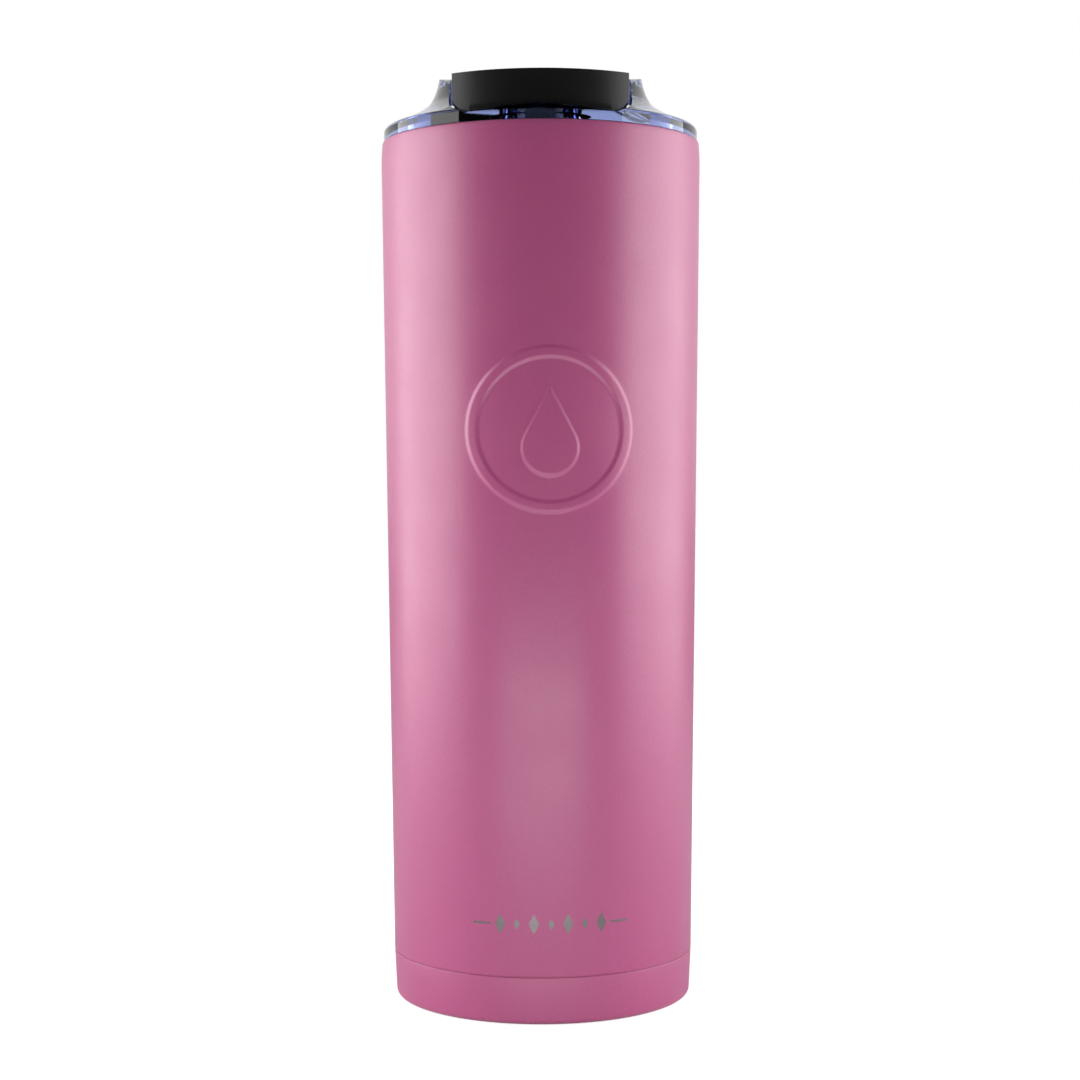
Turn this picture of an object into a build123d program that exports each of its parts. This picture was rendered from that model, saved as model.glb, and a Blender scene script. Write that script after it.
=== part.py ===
from build123d import *
import os
from math import cos, radians, sin, tan

# Insulated steel shaker bottle: a double-walled body, a screw lid moulded in clear plastic
# with two hinge ears, a flip cap with its stopper, and a mixing grid that twists into the lid.
# Millimetres, +Z up, origin on the floor under the bottle's axis, drinking side towards -Y.

# ---- Steel body ----
rim_height = 225.0  # steel rim above the floor
rim_radius = 41.8
top_bulge = 0.3  # how far the widest place, just under the rim, stands out past it
top_drop = 4.0  # from the rim down to the widest place
body_taper = 2.6  # how much smaller the radius is at the seam
seam_height = 12.0  # top of the base cup's band
seam_gap = 0.3
foot_taper = 0.6
foot_corner = 1.9
shell_wall = 0.5
rim_edge = 0.4

liner_wall = 0.4
mouth_step = 3.4  # from the rim's edge in to the bore of the mouth
neck_depth = 17.0
foot_step = 3.8  # from the shell's outside in to the liner's bore, at the bottom
liner_floor = 21.5  # inside floor above the table
liner_corner = 9.0

# ---- Base ----
contact_width = 4.0  # flat ring that the bottle stands on
recess_depth = 1.6
recess_slope = 1.2
joggle_height = 3.0  # lip of the base cup inside the shell
closure_height = 16.0  # underside of the disc that closes the vacuum
closure_flange = 4.0
port_radius = 1.2  # hole that the air is drawn out through
port_head_radius = 2.6
port_head = 0.6
getter_offset = 16.0
getter_size = (9.0, 6.0, 2.0)
strap_wall = 0.4
strap_foot = 4.0

# ---- Neck thread ----
thread_pitch = 5.0
thread_depth = 1.0
thread_root = 2.2  # axial width where the rib meets its wall
thread_crest = 1.0
thread_embed = 0.2
neck_thread_turns = 1.6
lid_thread_turns = 1.2
thread_clearance = 0.3
neck_thread_drop = 7.5  # from the rim down to the top of the neck's thread

# ---- Lid ----
rim_gap = 0.1  # lid flange above the steel rim
flange_setback = 0.4  # from the rim's edge in to the flange
flange_edge = 3.2  # upright edge of the flange
shoulder_inset = 1.9  # rounded shoulder of the flange, in from its edge
shoulder_height = 6.0
flare_inset = 7.6
flare_height = 8.25
ear_foot_spread = 2.0
ear_foot_height = 11.6
ear_height = 17.2
ear_radius = 27.0  # at the top of the ears
deck_height = 2.5  # floor of the channel above the rim
channel_half = 23.4
channel_corner = 5.5
lid_wall = 2.2
skirt_wall = 2.6
skirt_depth = 17.0
core_height = 11.0  # how far the ears are hollow from below
core_shoulder = 2.5  # plastic left over the hollow under the flare
core_waist = 3.3
heel_pad_height = 4.6
heel_pad_start = 2.0
heel_pad_reach = 22.0
spout_setback = 17.4  # from the flange's edge in to the spout's axis
spout_bore = 9.1
spout_wall = 2.0
spout_height = 7.0
spout_drop = 7.0  # tube below the rim, inside the skirt
spout_flare = 0.4
spout_flare_height = 1.6
gasket_height = 3.8
gasket_drop = 0.6
gasket_groove = 0.8
gasket_clearance = 0.1

# ---- Hinge ----
hinge_height = 14.1  # above the rim
pin_radius = 1.5
pin_outer = 27.0
pin_inner = 18.0
pin_clearance = 0.05
knuckle_radius = 4.0
knuckle_inner = 17.0
washer_radius = 3.6
washer_clearance = 0.05

# ---- Flip cap ----
cap_half = 22.2
cap_setback = 2.9  # from the flange's edge in to the cap's front face
cap_front_height = 13.0
cap_slope = 9.3  # degrees that the top rises towards the hinge
cap_foot = 3.2
cap_corner = 4.5
cap_wall = 2.0
heel_radius = 9.2
heel_angle = 20.0  # tilt of the flat that lands on the lid when the cap is fully open
heel_edge = 1.0
lip_notch_half = 11.0
lip_notch = 1.0
finger_lip = 0.7
finger_lip_height = 2.0
lip_fade = 0.05  # how far inside the cap's face the lip runs out
carrier_height = 9.2  # plate under the cap above the rim
carrier_wall = 1.5
carrier_rear = 6.5
stopper_stem = 4.0
stem_length = 6.0
stopper_flange = 10.0
stopper_flange_wall = 1.8
stopper_seal = 0.12  # radial room between stopper and spout
stopper_seal_height = 6.2
stopper_waist = 7.3
stopper_waist_height = 3.0
stopper_tip = 6.2
stopper_tip_height = 0.5

# ---- Mixing grid ----
lug_depth = 1.8
lug_height = 2.0
lug_rise = 2.5  # from the skirt's lower edge up to the lugs
lug_count = 3
lug_arc = 48.0
stop_arc = 4.0
stop_room = 1.5
twist_clearance = 0.3
collar_wall = 2.0
collar_drop = 8.0
grid_drop = 52.0
cage_taper = 6.4  # how much smaller the radius is at the disc than at the collar
grid_wall = 2.4
grid_rim = 3.0
bar_width = 1.8
bar_pitch = 7.0
leg_count = 6
leg_width = 4.0
leg_wall = 2.0

# ---- Pressed emblem on the front ----
emblem_height = 148.7
emblem_turn = 3.0  # degrees that the body stands turned under the lid
emblem_radius = 20.5
emblem_ring = 2.6
emblem_relief = 0.4
drop_radius = 7.0
drop_sink = 4.5  # centre of the drop's round end below the emblem's centre
drop_rise = 10.5  # tip of the drop above the emblem's centre
drop_cheek = 6.3  # half-width where the straight sides meet the round end
drop_cheek_sink = 2.25

cut_over = 1.0  # how far a cutter runs past the plastic that it cuts

# ---- Derived sizes ----
top_radius = rim_radius + top_bulge
seam_radius = top_radius - body_taper
foot_radius = seam_radius - foot_taper
neck_radius = rim_radius - mouth_step
liner_foot_radius = seam_radius - foot_step
flange_radius = rim_radius - flange_setback
cap_nose = flange_radius - cap_setback
spout_offset = flange_radius - spout_setback
widest_height = rim_height - top_drop
shell_taper = (top_radius - seam_radius) / (widest_height - seam_height)
liner_top = rim_height - neck_depth
liner_outer = neck_radius + liner_wall
skirt_root = neck_radius - thread_depth - thread_clearance
skirt_inner = skirt_root - skirt_wall
skirt_foot = rim_height - skirt_depth
neck_thread_top = rim_height - neck_thread_drop
neck_thread_foot = neck_thread_top - thread_pitch * neck_thread_turns
lug_floor = skirt_foot + lug_rise
collar_outer = skirt_inner - lug_depth - twist_clearance
hinge_z = rim_height + hinge_height
deck_z = rim_height + deck_height


def shell_radius(height):
    """Outside radius of the steel shell at a height."""
    return seam_radius + shell_taper * (height - seam_height)


def shell_bore(height):
    """Inside radius of the steel shell at a height."""
    return shell_radius(height) - shell_wall


def cap_top(y):
    """Height above the rim of the cap's sloping top at a place along Y."""
    return cap_front_height + (y + cap_nose) * tan(radians(cap_slope))


def lathe(points, rounded=()):
    """Turned solid from half-section points; rounded holds pairs of a point and its radius."""
    with BuildPart() as turned:
        with BuildSketch(Plane.XZ):
            with BuildLine():
                Polyline(*points, close=True)
            make_face()
            for corner, radius in rounded:
                fillet(vertices().sort_by_distance(corner)[0], radius)
        revolve(axis=Axis.Z)
    return turned.part


def thread_rib(radius, foot, turns, outward):
    """One helical rib on a wall of the given radius, pointing outward or inward."""
    side = 1 if outward else -1
    base = radius - side * thread_embed
    crest = radius + side * thread_depth
    with BuildPart() as rib:
        with BuildLine(Plane.XY.offset(foot)):
            Helix(pitch=thread_pitch, height=thread_pitch * turns, radius=radius)
        with BuildSketch(Plane.XZ):
            with BuildLine():
                Polyline(
                    (base, foot - thread_root / 2),
                    (crest, foot - thread_crest / 2),
                    (crest, foot + thread_crest / 2),
                    (base, foot + thread_root / 2),
                    close=True,
                )
            make_face()
        sweep(is_frenet=True)
    return rib.part


def arc_ring(inner, outer, centre, arc):
    """Evenly spaced arcs of a flat ring, one for each bayonet lug."""
    reach = 2 * outer
    half = radians(arc / 2)
    with PolarLocations(0, lug_count, start_angle=centre):
        Polygon((0, 0), (reach, -reach * tan(half)), (reach, reach * tan(half)), align=None)
    Circle(outer, mode=Mode.INTERSECT)
    Circle(inner, mode=Mode.SUBTRACT)


# ---- Outer shell: tapered steel tube, folded in at the rim, emblem pressed out of its front ----
shell_foot = seam_height + seam_gap
shell_outline = lathe(
    [
        (shell_radius(shell_foot), shell_foot),
        (top_radius, widest_height),
        (rim_radius, rim_height),
        (liner_outer, rim_height),
        (liner_outer, rim_height - shell_wall),
        (rim_radius - shell_wall, rim_height - shell_wall),
        (top_radius - shell_wall, widest_height),
        (shell_bore(shell_foot), shell_foot),
    ],
    [((rim_radius, rim_height), rim_edge)],
)
emblem_skin = lathe(
    [
        (shell_radius(shell_foot) - shell_wall / 2, shell_foot),
        (shell_radius(shell_foot) + emblem_relief, shell_foot),
        (top_radius + emblem_relief, widest_height),
        (top_radius - shell_wall / 2, widest_height),
    ]
)
turn = radians(emblem_turn)
front = Plane(origin=(0, 0, emblem_height), x_dir=(cos(turn), sin(turn), 0), z_dir=(sin(turn), -cos(turn), 0))
with BuildPart() as emblem:
    with BuildSketch(front.offset(seam_radius / 2)):
        Circle(emblem_radius)
        Circle(emblem_radius - emblem_ring, mode=Mode.SUBTRACT)
        with BuildLine():
            Polyline(
                (0, drop_rise),
                (-drop_cheek, -drop_cheek_sink),
                (drop_cheek, -drop_cheek_sink),
                close=True,
            )
        make_face()
        with Locations((0, -drop_sink)):
            Circle(drop_radius)
    extrude(amount=seam_radius)
    add(emblem_skin, mode=Mode.INTERSECT)
with BuildPart() as outer_shell:
    add(shell_outline)
    add(emblem.part)

# ---- Inner liner: steel cup with a rolled thread inside its mouth ----
with BuildPart() as inner_liner:
    add(
        lathe(
            [
                (0, liner_floor - liner_wall),
                (liner_foot_radius + liner_wall, liner_floor - liner_wall),
                (liner_outer, liner_top),
                (liner_outer, rim_height),
                (neck_radius, rim_height),
                (neck_radius, liner_top),
                (liner_foot_radius, liner_floor),
                (0, liner_floor),
            ],
            [
                ((liner_foot_radius + liner_wall, liner_floor - liner_wall), liner_corner + liner_wall),
                ((liner_foot_radius, liner_floor), liner_corner),
            ],
        )
    )
    add(thread_rib(neck_radius, neck_thread_foot, neck_thread_turns, outward=False))

# ---- Vacuum closure: pressed disc welded inside the shell's foot, with its port and getter ----
closure_top = closure_height + shell_wall
closure_rim = closure_height + closure_flange
with BuildPart() as shell_bottom:
    add(
        lathe(
            [
                (port_radius, closure_height),
                (shell_bore(closure_height), closure_height),
                (shell_bore(closure_rim), closure_rim),
                (shell_bore(closure_rim) - shell_wall, closure_rim),
                (shell_bore(closure_height) - shell_wall, closure_top),
                (port_radius, closure_top),
            ]
        )
    )
with BuildPart() as vacuum_plug:
    with BuildSketch(Plane.XY.offset(closure_height - port_head)):
        Circle(port_head_radius)
    extrude(amount=port_head)
    with BuildSketch(Plane.XY.offset(closure_height)):
        Circle(port_radius)
    extrude(amount=shell_wall)

getter_length, getter_width, getter_thickness = getter_size
with BuildPart() as getter:
    with BuildSketch(Plane.XY.offset(closure_top)):
        with Locations((getter_offset, 0)):
            RectangleRounded(getter_length, getter_width, getter_width / 4)
    extrude(amount=getter_thickness)
with BuildPart() as getter_strap:
    with BuildSketch(Plane.YZ.offset(getter_offset - getter_width / 4)):
        half = getter_width / 2
        top = closure_top + getter_thickness
        with BuildLine():
            Polyline(
                (-half - strap_foot, closure_top),
                (-half, closure_top),
                (-half, top),
                (half, top),
                (half, closure_top),
                (half + strap_foot, closure_top),
                (half + strap_foot, closure_top + strap_wall),
                (half + strap_wall, closure_top + strap_wall),
                (half + strap_wall, top + strap_wall),
                (-half - strap_wall, top + strap_wall),
                (-half - strap_wall, closure_top + strap_wall),
                (-half - strap_foot, closure_top + strap_wall),
                close=True,
            )
        make_face()
    extrude(amount=getter_width / 2)

# ---- Base cup: pressed steel cup whose band continues the shell below the seam ----
contact_outer = foot_radius - foot_corner
contact_inner = contact_outer - contact_width
recess_radius = contact_inner - recess_slope
joggle_top = seam_height + joggle_height
with BuildPart() as base_cup:
    add(
        lathe(
            [
                (0, recess_depth),
                (recess_radius, recess_depth),
                (contact_inner, 0),
                (foot_radius, 0),
                (seam_radius, seam_height),
                (shell_bore(seam_height), seam_height),
                (shell_bore(joggle_top), joggle_top),
                (shell_bore(joggle_top) - shell_wall, joggle_top),
                (foot_radius - shell_wall, foot_corner),
                (foot_radius - foot_corner, shell_wall),
                (contact_inner, shell_wall),
                (recess_radius, recess_depth + shell_wall),
                (0, recess_depth + shell_wall),
            ],
            [((foot_radius, 0), foot_corner)],
        )
    )

# ---- Lid: flared moulding, channel for the cap, two ears, spout, threaded skirt ----
flange_foot = rim_height + rim_gap
ear_top = rim_height + ear_height
gasket_top = rim_height - gasket_drop
groove_radius = skirt_root - gasket_groove
channel_wall = channel_half + lid_wall
with BuildPart() as ear_cores:
    add(
        lathe(
            [
                (0, flange_foot),
                (skirt_inner, flange_foot),
                (skirt_inner, rim_height + flare_height - core_shoulder),
                (ear_radius + lid_wall, rim_height + ear_foot_height - core_waist),
                (ear_radius, rim_height + core_height),
                (0, rim_height + core_height),
            ]
        )
    )
    with BuildSketch(Plane.XY.offset(flange_foot)):
        Rectangle(2 * channel_wall, 2 * skirt_inner)
    extrude(amount=core_height, mode=Mode.SUBTRACT)
ear_core = ear_cores.part
skirt = lathe(
    [
        (skirt_inner, skirt_foot),
        (skirt_root, skirt_foot),
        (skirt_root, gasket_top - gasket_height),
        (groove_radius, gasket_top - gasket_height),
        (groove_radius, gasket_top),
        (skirt_root, gasket_top),
        (skirt_root, rim_height + deck_height),
        (skirt_inner, rim_height + deck_height),
    ]
)
with BuildPart() as spout_hollows:
    with BuildSketch(Plane.XY.offset(rim_height - spout_drop)):
        with Locations((0, -spout_offset)):
            Circle(spout_bore)
    extrude(amount=spout_height + spout_drop)
    with BuildSketch(Plane.XY.offset(rim_height + spout_height - spout_flare_height)):
        with Locations((0, -spout_offset)):
            Circle(spout_bore)
    with BuildSketch(Plane.XY.offset(rim_height + spout_height)):
        with Locations((0, -spout_offset)):
            Circle(spout_bore + spout_flare)
    loft()
spout_hollow = spout_hollows.part
lug_inner = skirt_inner - lug_depth
with BuildSketch() as lug_ring:
    arc_ring(lug_inner, skirt_inner + skirt_wall / 2, 0, lug_arc)
with BuildSketch() as stop_ring:
    arc_ring(lug_inner, skirt_inner + skirt_wall / 2, -(lug_arc + stop_arc) / 2 - stop_room, stop_arc)
with BuildPart() as lid_body:
    with BuildSketch(Plane.XZ):
        with BuildLine():
            edge = Polyline((0, flange_foot), (flange_radius, flange_foot), (flange_radius, flange_foot + flange_edge))
            flare = Spline(
                edge @ 1,
                (flange_radius - shoulder_inset, rim_height + shoulder_height),
                (flange_radius - flare_inset, rim_height + flare_height),
                (ear_radius + ear_foot_spread, rim_height + ear_foot_height),
                (ear_radius, ear_top),
                tangents=[(0, 1), (-0.25, 1)],
            )
            Polyline(flare @ 1, (0, ear_top), (0, flange_foot))
        make_face()
    revolve(axis=Axis.Z)
    with BuildSketch(Plane.XZ.offset(-flange_radius)):
        with BuildLine():
            Polyline(
                (-channel_half, deck_z),
                (channel_half, deck_z),
                (channel_half, ear_top + cut_over),
                (-channel_half, ear_top + cut_over),
                close=True,
            )
        make_face()
        fillet(vertices().group_by(Axis.Y)[0], channel_corner)
    extrude(amount=2 * flange_radius, mode=Mode.SUBTRACT)
    add(ear_core, mode=Mode.SUBTRACT)
    with BuildSketch(Plane.XY.offset(deck_z)):
        with Locations((0, (heel_pad_start + heel_pad_reach) / 2)):
            Rectangle(2 * channel_half, heel_pad_reach - heel_pad_start)
    extrude(amount=heel_pad_height - deck_height)
    add(skirt)
    add(thread_rib(skirt_root, neck_thread_foot + thread_pitch / 2, lid_thread_turns, outward=True))
    with BuildSketch(Plane.XY.offset(rim_height - spout_drop)):
        with Locations((0, -spout_offset)):
            Circle(spout_bore + spout_wall)
    extrude(amount=spout_height + spout_drop)
    add(spout_hollow, mode=Mode.SUBTRACT)
    with BuildSketch(Plane.XY.offset(lug_floor)):
        add(lug_ring.sketch)
    extrude(amount=lug_height)
    with BuildSketch(Plane.XY.offset(lug_floor)):
        add(stop_ring.sketch)
    extrude(amount=2 * lug_height + twist_clearance)
    with BuildSketch(Plane.YZ.offset(-flange_radius)):
        with Locations((0, hinge_z)):
            Circle(pin_radius)
    extrude(amount=2 * flange_radius, mode=Mode.SUBTRACT)

# ---- Gasket: silicone ring in the skirt's groove, wiping the mouth ----
with BuildPart() as lid_gasket:
    add(
        lathe(
            [
                (groove_radius + gasket_clearance, gasket_top - gasket_height + gasket_clearance),
                (neck_radius - gasket_clearance, gasket_top - gasket_height + gasket_clearance),
                (neck_radius - gasket_clearance, gasket_top - gasket_clearance),
                (groove_radius + gasket_clearance, gasket_top - gasket_clearance),
            ]
        )
    )


def hinge_rod(radius, start, end, hole=0.0):
    """Rod or washer on the hinge axis between two places along X."""
    with BuildPart() as rod:
        with BuildSketch(Plane.YZ.offset(start)):
            with Locations((0, hinge_z)):
                Circle(radius)
                if hole:
                    Circle(hole, mode=Mode.SUBTRACT)
        extrude(amount=end - start)
    return rod


# ---- Hinge: a steel pin and a nylon washer at each ear ----
washer_bore = pin_radius + pin_clearance
pins = {
    "hinge_pin_left": hinge_rod(pin_radius, -pin_outer, -pin_inner),
    "hinge_pin_right": hinge_rod(pin_radius, pin_inner, pin_outer),
}
washer_near = cap_half + washer_clearance
washer_far = channel_half - washer_clearance
washers = {
    "hinge_washer_left": hinge_rod(washer_radius, -washer_far, -washer_near, washer_bore),
    "hinge_washer_right": hinge_rod(washer_radius, washer_near, washer_far, washer_bore),
}


def cap_side(foot, inset):
    """Side view of the cap: sloping top, round heel about the hinge and the flat that lands open."""
    heel = radians(heel_angle)
    slope = radians(cap_slope)
    barrel_radius = heel_radius - inset
    rise = cap_top(0) - hinge_height - inset / cos(slope)
    corner_y = (barrel_radius - rise * sin(heel)) / (cos(heel) + tan(slope) * sin(heel))
    corner_z = hinge_z + rise + corner_y * tan(slope)
    nose = -cap_nose - cap_wall
    with BuildSketch() as side:
        with BuildLine():
            barrel = CenterArc((0, hinge_z), barrel_radius, -90, 90 + heel_angle)
            Polyline(
                barrel @ 1,
                (corner_y, corner_z),
                (nose, hinge_z + rise + nose * tan(slope)),
                (nose, foot),
                (0, foot),
                barrel @ 0,
            )
        make_face()
        fillet(vertices().sort_by_distance((corner_y, corner_z))[0], heel_edge)
    return side.sketch


def cap_block(foot, inset, corner):
    """The cap's outer form, or its hollow when it is pulled in by an inset."""
    half = cap_half - inset
    side = cap_side(foot, inset)
    with BuildPart() as block:
        with BuildSketch(Plane.YZ.offset(-half)):
            add(side)
        extrude(amount=2 * half)
        with BuildSketch(Plane.XY.offset(foot - cut_over)):
            Circle(cap_nose - inset)
        extrude(amount=cap_nose, mode=Mode.INTERSECT)
        with BuildSketch(Plane.XZ.offset(-cap_nose)):
            with BuildLine():
                Polyline(
                    (-half, foot),
                    (half, foot),
                    (half, foot + cap_nose),
                    (-half, foot + cap_nose),
                    close=True,
                )
            make_face()
            if corner:
                fillet(vertices().group_by(Axis.Y)[0], corner)
        extrude(amount=2 * cap_nose, mode=Mode.INTERSECT)
    return block.part


# ---- Flip cap: hollow black lever between the ears, with a lip for the finger ----
cap_foot_z = rim_height + cap_foot
lip_top = cap_foot_z + finger_lip_height
finger_ring = lathe(
    [
        (cap_nose - cap_wall / 2, cap_foot_z),
        (cap_nose + finger_lip, cap_foot_z),
        (cap_nose + finger_lip, cap_foot_z + finger_lip / 2),
        (cap_nose - lip_fade, lip_top),
        (cap_nose - cap_wall / 2, lip_top),
    ]
)
with BuildPart() as finger_lips:
    add(finger_ring)
    with BuildSketch(Plane.XY.offset(cap_foot_z)):
        with Locations((0, -cap_nose)):
            Rectangle(2 * (cap_half - cap_corner), cap_nose)
    extrude(amount=finger_lip_height, mode=Mode.INTERSECT)
with BuildPart() as flip_cap:
    add(cap_block(cap_foot_z, 0, cap_corner))
    add(finger_lips.part)
    add(cap_block(cap_foot_z + cap_wall, cap_wall, cap_corner - cap_wall), mode=Mode.SUBTRACT)
    with BuildSketch(Plane.XY.offset(cap_foot_z)):
        Circle(cap_nose - cap_wall)
        Rectangle(2 * (cap_half - cap_corner), 2 * cap_nose, mode=Mode.INTERSECT)
        with Locations((0, cap_nose)):
            Rectangle(2 * cap_nose, 2 * cap_nose, mode=Mode.SUBTRACT)
    extrude(amount=2 * cap_wall, mode=Mode.SUBTRACT)
    with BuildSketch(Plane.XY.offset(cap_foot_z)):
        with Locations((0, -cap_nose)):
            Rectangle(2 * lip_notch_half, 4 * cap_wall)
    extrude(amount=lip_notch, mode=Mode.SUBTRACT)
    for side in (-1, 1):
        with BuildSketch(Plane.YZ.offset(side * knuckle_inner)):
            with Locations((0, hinge_z)):
                Circle(knuckle_radius)
        extrude(amount=side * (cap_half - cap_wall - knuckle_inner))
    with BuildSketch(Plane.YZ.offset(-cap_half)):
        with Locations((0, hinge_z)):
            Circle(washer_bore)
    extrude(amount=2 * cap_half, mode=Mode.SUBTRACT)

# ---- Carrier: plate that closes the cap's hollow and holds the stopper's stem ----
carrier_z = rim_height + carrier_height
with BuildPart() as cap_carrier:
    with BuildSketch(Plane.XY.offset(carrier_z)):
        Circle(cap_nose - cap_wall)
        Rectangle(2 * (cap_half - cap_wall), 2 * cap_nose, mode=Mode.INTERSECT)
        with Locations((0, cap_nose - carrier_rear)):
            Rectangle(2 * cap_nose, 2 * cap_nose, mode=Mode.SUBTRACT)
    extrude(amount=carrier_wall)
    with BuildSketch(Plane.XY.offset(carrier_z)):
        with Locations((0, -spout_offset)):
            Circle(stopper_stem)
    extrude(amount=-stem_length)

# ---- Stopper: soft plug that tapers so it swings clear of the spout ----
seal_radius = spout_bore - stopper_seal
flange_under = carrier_height - stopper_flange_wall
stopper_half = lathe(
    [
        (0, rim_height + stopper_tip_height),
        (stopper_tip, rim_height + stopper_tip_height),
        (stopper_waist, rim_height + stopper_waist_height),
        (seal_radius, rim_height + stopper_seal_height),
        (seal_radius, rim_height + flange_under),
        (stopper_flange, rim_height + flange_under),
        (stopper_flange, carrier_z),
        (stopper_stem, carrier_z),
        (stopper_stem, carrier_z - stem_length),
        (0, carrier_z - stem_length),
    ]
)
with BuildPart() as spout_stopper:
    add(Location((0, -spout_offset, 0)) * stopper_half)

# ---- Mixing grid: bayonet collar, and a barred disc that hangs from it on legs ----
collar_top = lug_floor + 2 * lug_height + twist_clearance
collar_foot = skirt_foot - collar_drop
grid_z = rim_height - grid_drop
grid_outer = collar_outer - cage_taper
with BuildPart() as cage_legs:
    add(
        lathe(
            [
                (grid_outer - leg_wall, grid_z),
                (grid_outer, grid_z),
                (collar_outer, collar_foot + leg_wall),
                (collar_outer - leg_wall, collar_foot + leg_wall),
            ]
        )
    )
    with BuildSketch(Plane.XY.offset(grid_z)):
        with PolarLocations(collar_outer / 2, leg_count):
            Rectangle(2 * collar_outer, leg_width)
    extrude(amount=collar_foot - grid_z, mode=Mode.INTERSECT)
with BuildSketch() as collar_lugs:
    arc_ring(collar_outer - collar_wall / 2, skirt_inner - twist_clearance, 0, lug_arc)
bar_count = int(2 * (grid_outer - collar_wall) / bar_pitch)
with BuildPart() as grid_collar:
    with BuildSketch(Plane.XY.offset(collar_foot)):
        Circle(collar_outer)
        Circle(collar_outer - collar_wall, mode=Mode.SUBTRACT)
    extrude(amount=collar_top - collar_foot)
    with BuildSketch(Plane.XY.offset(collar_top - lug_height)):
        add(collar_lugs.sketch)
    extrude(amount=lug_height)
with BuildPart() as mixing_grid:
    add(cage_legs.part)
    with BuildSketch(Plane.XY.offset(grid_z)):
        Circle(grid_outer)
        Circle(grid_outer - grid_rim, mode=Mode.SUBTRACT)
    extrude(amount=grid_wall)
    with BuildSketch(Plane.XY.offset(grid_z)):
        with GridLocations(bar_pitch, 0, bar_count, 1):
            Rectangle(bar_width, 2 * grid_outer)
        with GridLocations(0, bar_pitch, 1, bar_count):
            Rectangle(2 * grid_outer, bar_width)
        Circle(grid_outer - grid_rim / 2, mode=Mode.INTERSECT)
    extrude(amount=grid_wall)

pieces = {
    "outer_shell": outer_shell,
    "inner_liner": inner_liner,
    "shell_bottom": shell_bottom,
    "vacuum_plug": vacuum_plug,
    "getter": getter,
    "getter_strap": getter_strap,
    "base_cup": base_cup,
    "lid_body": lid_body,
    "lid_gasket": lid_gasket,
    "flip_cap": flip_cap,
    "cap_carrier": cap_carrier,
    "spout_stopper": spout_stopper,
    "grid_collar": grid_collar,
    "mixing_grid": mixing_grid,
    **pins,
    **washers,
}
os.makedirs("parts", exist_ok=True)
for name, piece in pieces.items():
    piece.part.label = name
    export_step(piece.part, f"parts/{name}.step")
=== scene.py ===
"""Dresses the insulated shaker bottle: steel body, clear screw lid, flip cap and mixing grid."""

import logging
from dataclasses import dataclass, field
from enum import Enum
from math import asin, cos, hypot, pi, radians, sin, sqrt, tan

import bmesh
import bpy
from mathutils import Matrix, Vector


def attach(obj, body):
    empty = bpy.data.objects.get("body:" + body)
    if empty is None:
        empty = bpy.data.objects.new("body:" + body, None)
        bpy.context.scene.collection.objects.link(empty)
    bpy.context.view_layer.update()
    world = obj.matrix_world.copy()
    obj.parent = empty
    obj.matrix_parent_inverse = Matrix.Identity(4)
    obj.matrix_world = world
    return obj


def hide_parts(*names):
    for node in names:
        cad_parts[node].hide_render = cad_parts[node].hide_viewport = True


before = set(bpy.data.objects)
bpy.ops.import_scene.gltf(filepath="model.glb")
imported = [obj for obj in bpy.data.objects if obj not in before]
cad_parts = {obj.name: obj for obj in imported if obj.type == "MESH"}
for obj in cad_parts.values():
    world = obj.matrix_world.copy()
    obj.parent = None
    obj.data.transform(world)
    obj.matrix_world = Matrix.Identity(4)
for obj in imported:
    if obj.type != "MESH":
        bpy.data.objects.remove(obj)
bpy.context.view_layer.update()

MM = 0.001
RIM = 225.0  # steel rim above the floor, in millimetres
HINGE = 239.1  # hinge axis above the floor
STEPS = 192  # segments round a turned piece

log = logging.getLogger("shaker")
Point = tuple[float, float]
Colour = tuple[float, float, float]


class Body(Enum):
    """The moving bodies of the frame."""

    BOTTLE = "bottle"
    SEAL = "seal"
    LID = "lid"
    CAP = "cap"
    MIXER = "mixer"


class Direction(Enum):
    """Axes that a section is turned about or drawn across."""

    X = (1.0, 0.0, 0.0)
    Y = (0.0, 1.0, 0.0)
    Z = (0.0, 0.0, 1.0)


# ---------------------------------------------------------------- mesh helpers


def outline_face(mesh: bmesh.types.BMesh, points: list[Point], across: Direction, place: float = 0.0):
    """Draws one flat face from its corners.

    Args:
        mesh: mesh that gets the face.
        points: corners in millimetres, as the two coordinates left over by the axis.
        across: axis that the face is square to.
        place: where along that axis the face lies, in millimetres.

    Returns:
        The new face.
    """
    corners = {
        Direction.X: lambda a, b: (place, a, b),
        Direction.Y: lambda a, b: (a, place, b),
        Direction.Z: lambda a, b: (a, b, place),
    }
    verts = [mesh.verts.new(Vector(corners[across](a, b)) * MM) for a, b in points]
    return mesh.faces.new(verts)


def round_corner(mesh: bmesh.types.BMesh, corner: Vector, radius: float, segments: int = 4) -> None:
    """Rounds the corner of a flat outline that lies nearest to a place.

    Args:
        mesh: mesh that holds the outline.
        corner: the place, in millimetres.
        radius: length of edge that the rounding takes, in millimetres.
        segments: edges along the rounding.
    """
    nearest = min(mesh.verts, key=lambda v: (v.co - corner * MM).length)
    bmesh.ops.bevel(
        mesh,
        geom=[nearest],
        offset=radius * MM,
        offset_type="OFFSET",
        segments=segments,
        profile=0.5,
        affect="VERTICES",
        material=-1,
    )


def tidy(mesh: bmesh.types.BMesh, merge: float = 0.002) -> None:
    """Merges doubles and turns every face outwards.

    Args:
        mesh: mesh to clean.
        merge: distance under which corners are joined, in millimetres.
    """
    bmesh.ops.remove_doubles(mesh, verts=mesh.verts, dist=merge * MM)
    bmesh.ops.recalc_face_normals(mesh, faces=mesh.faces)


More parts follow.
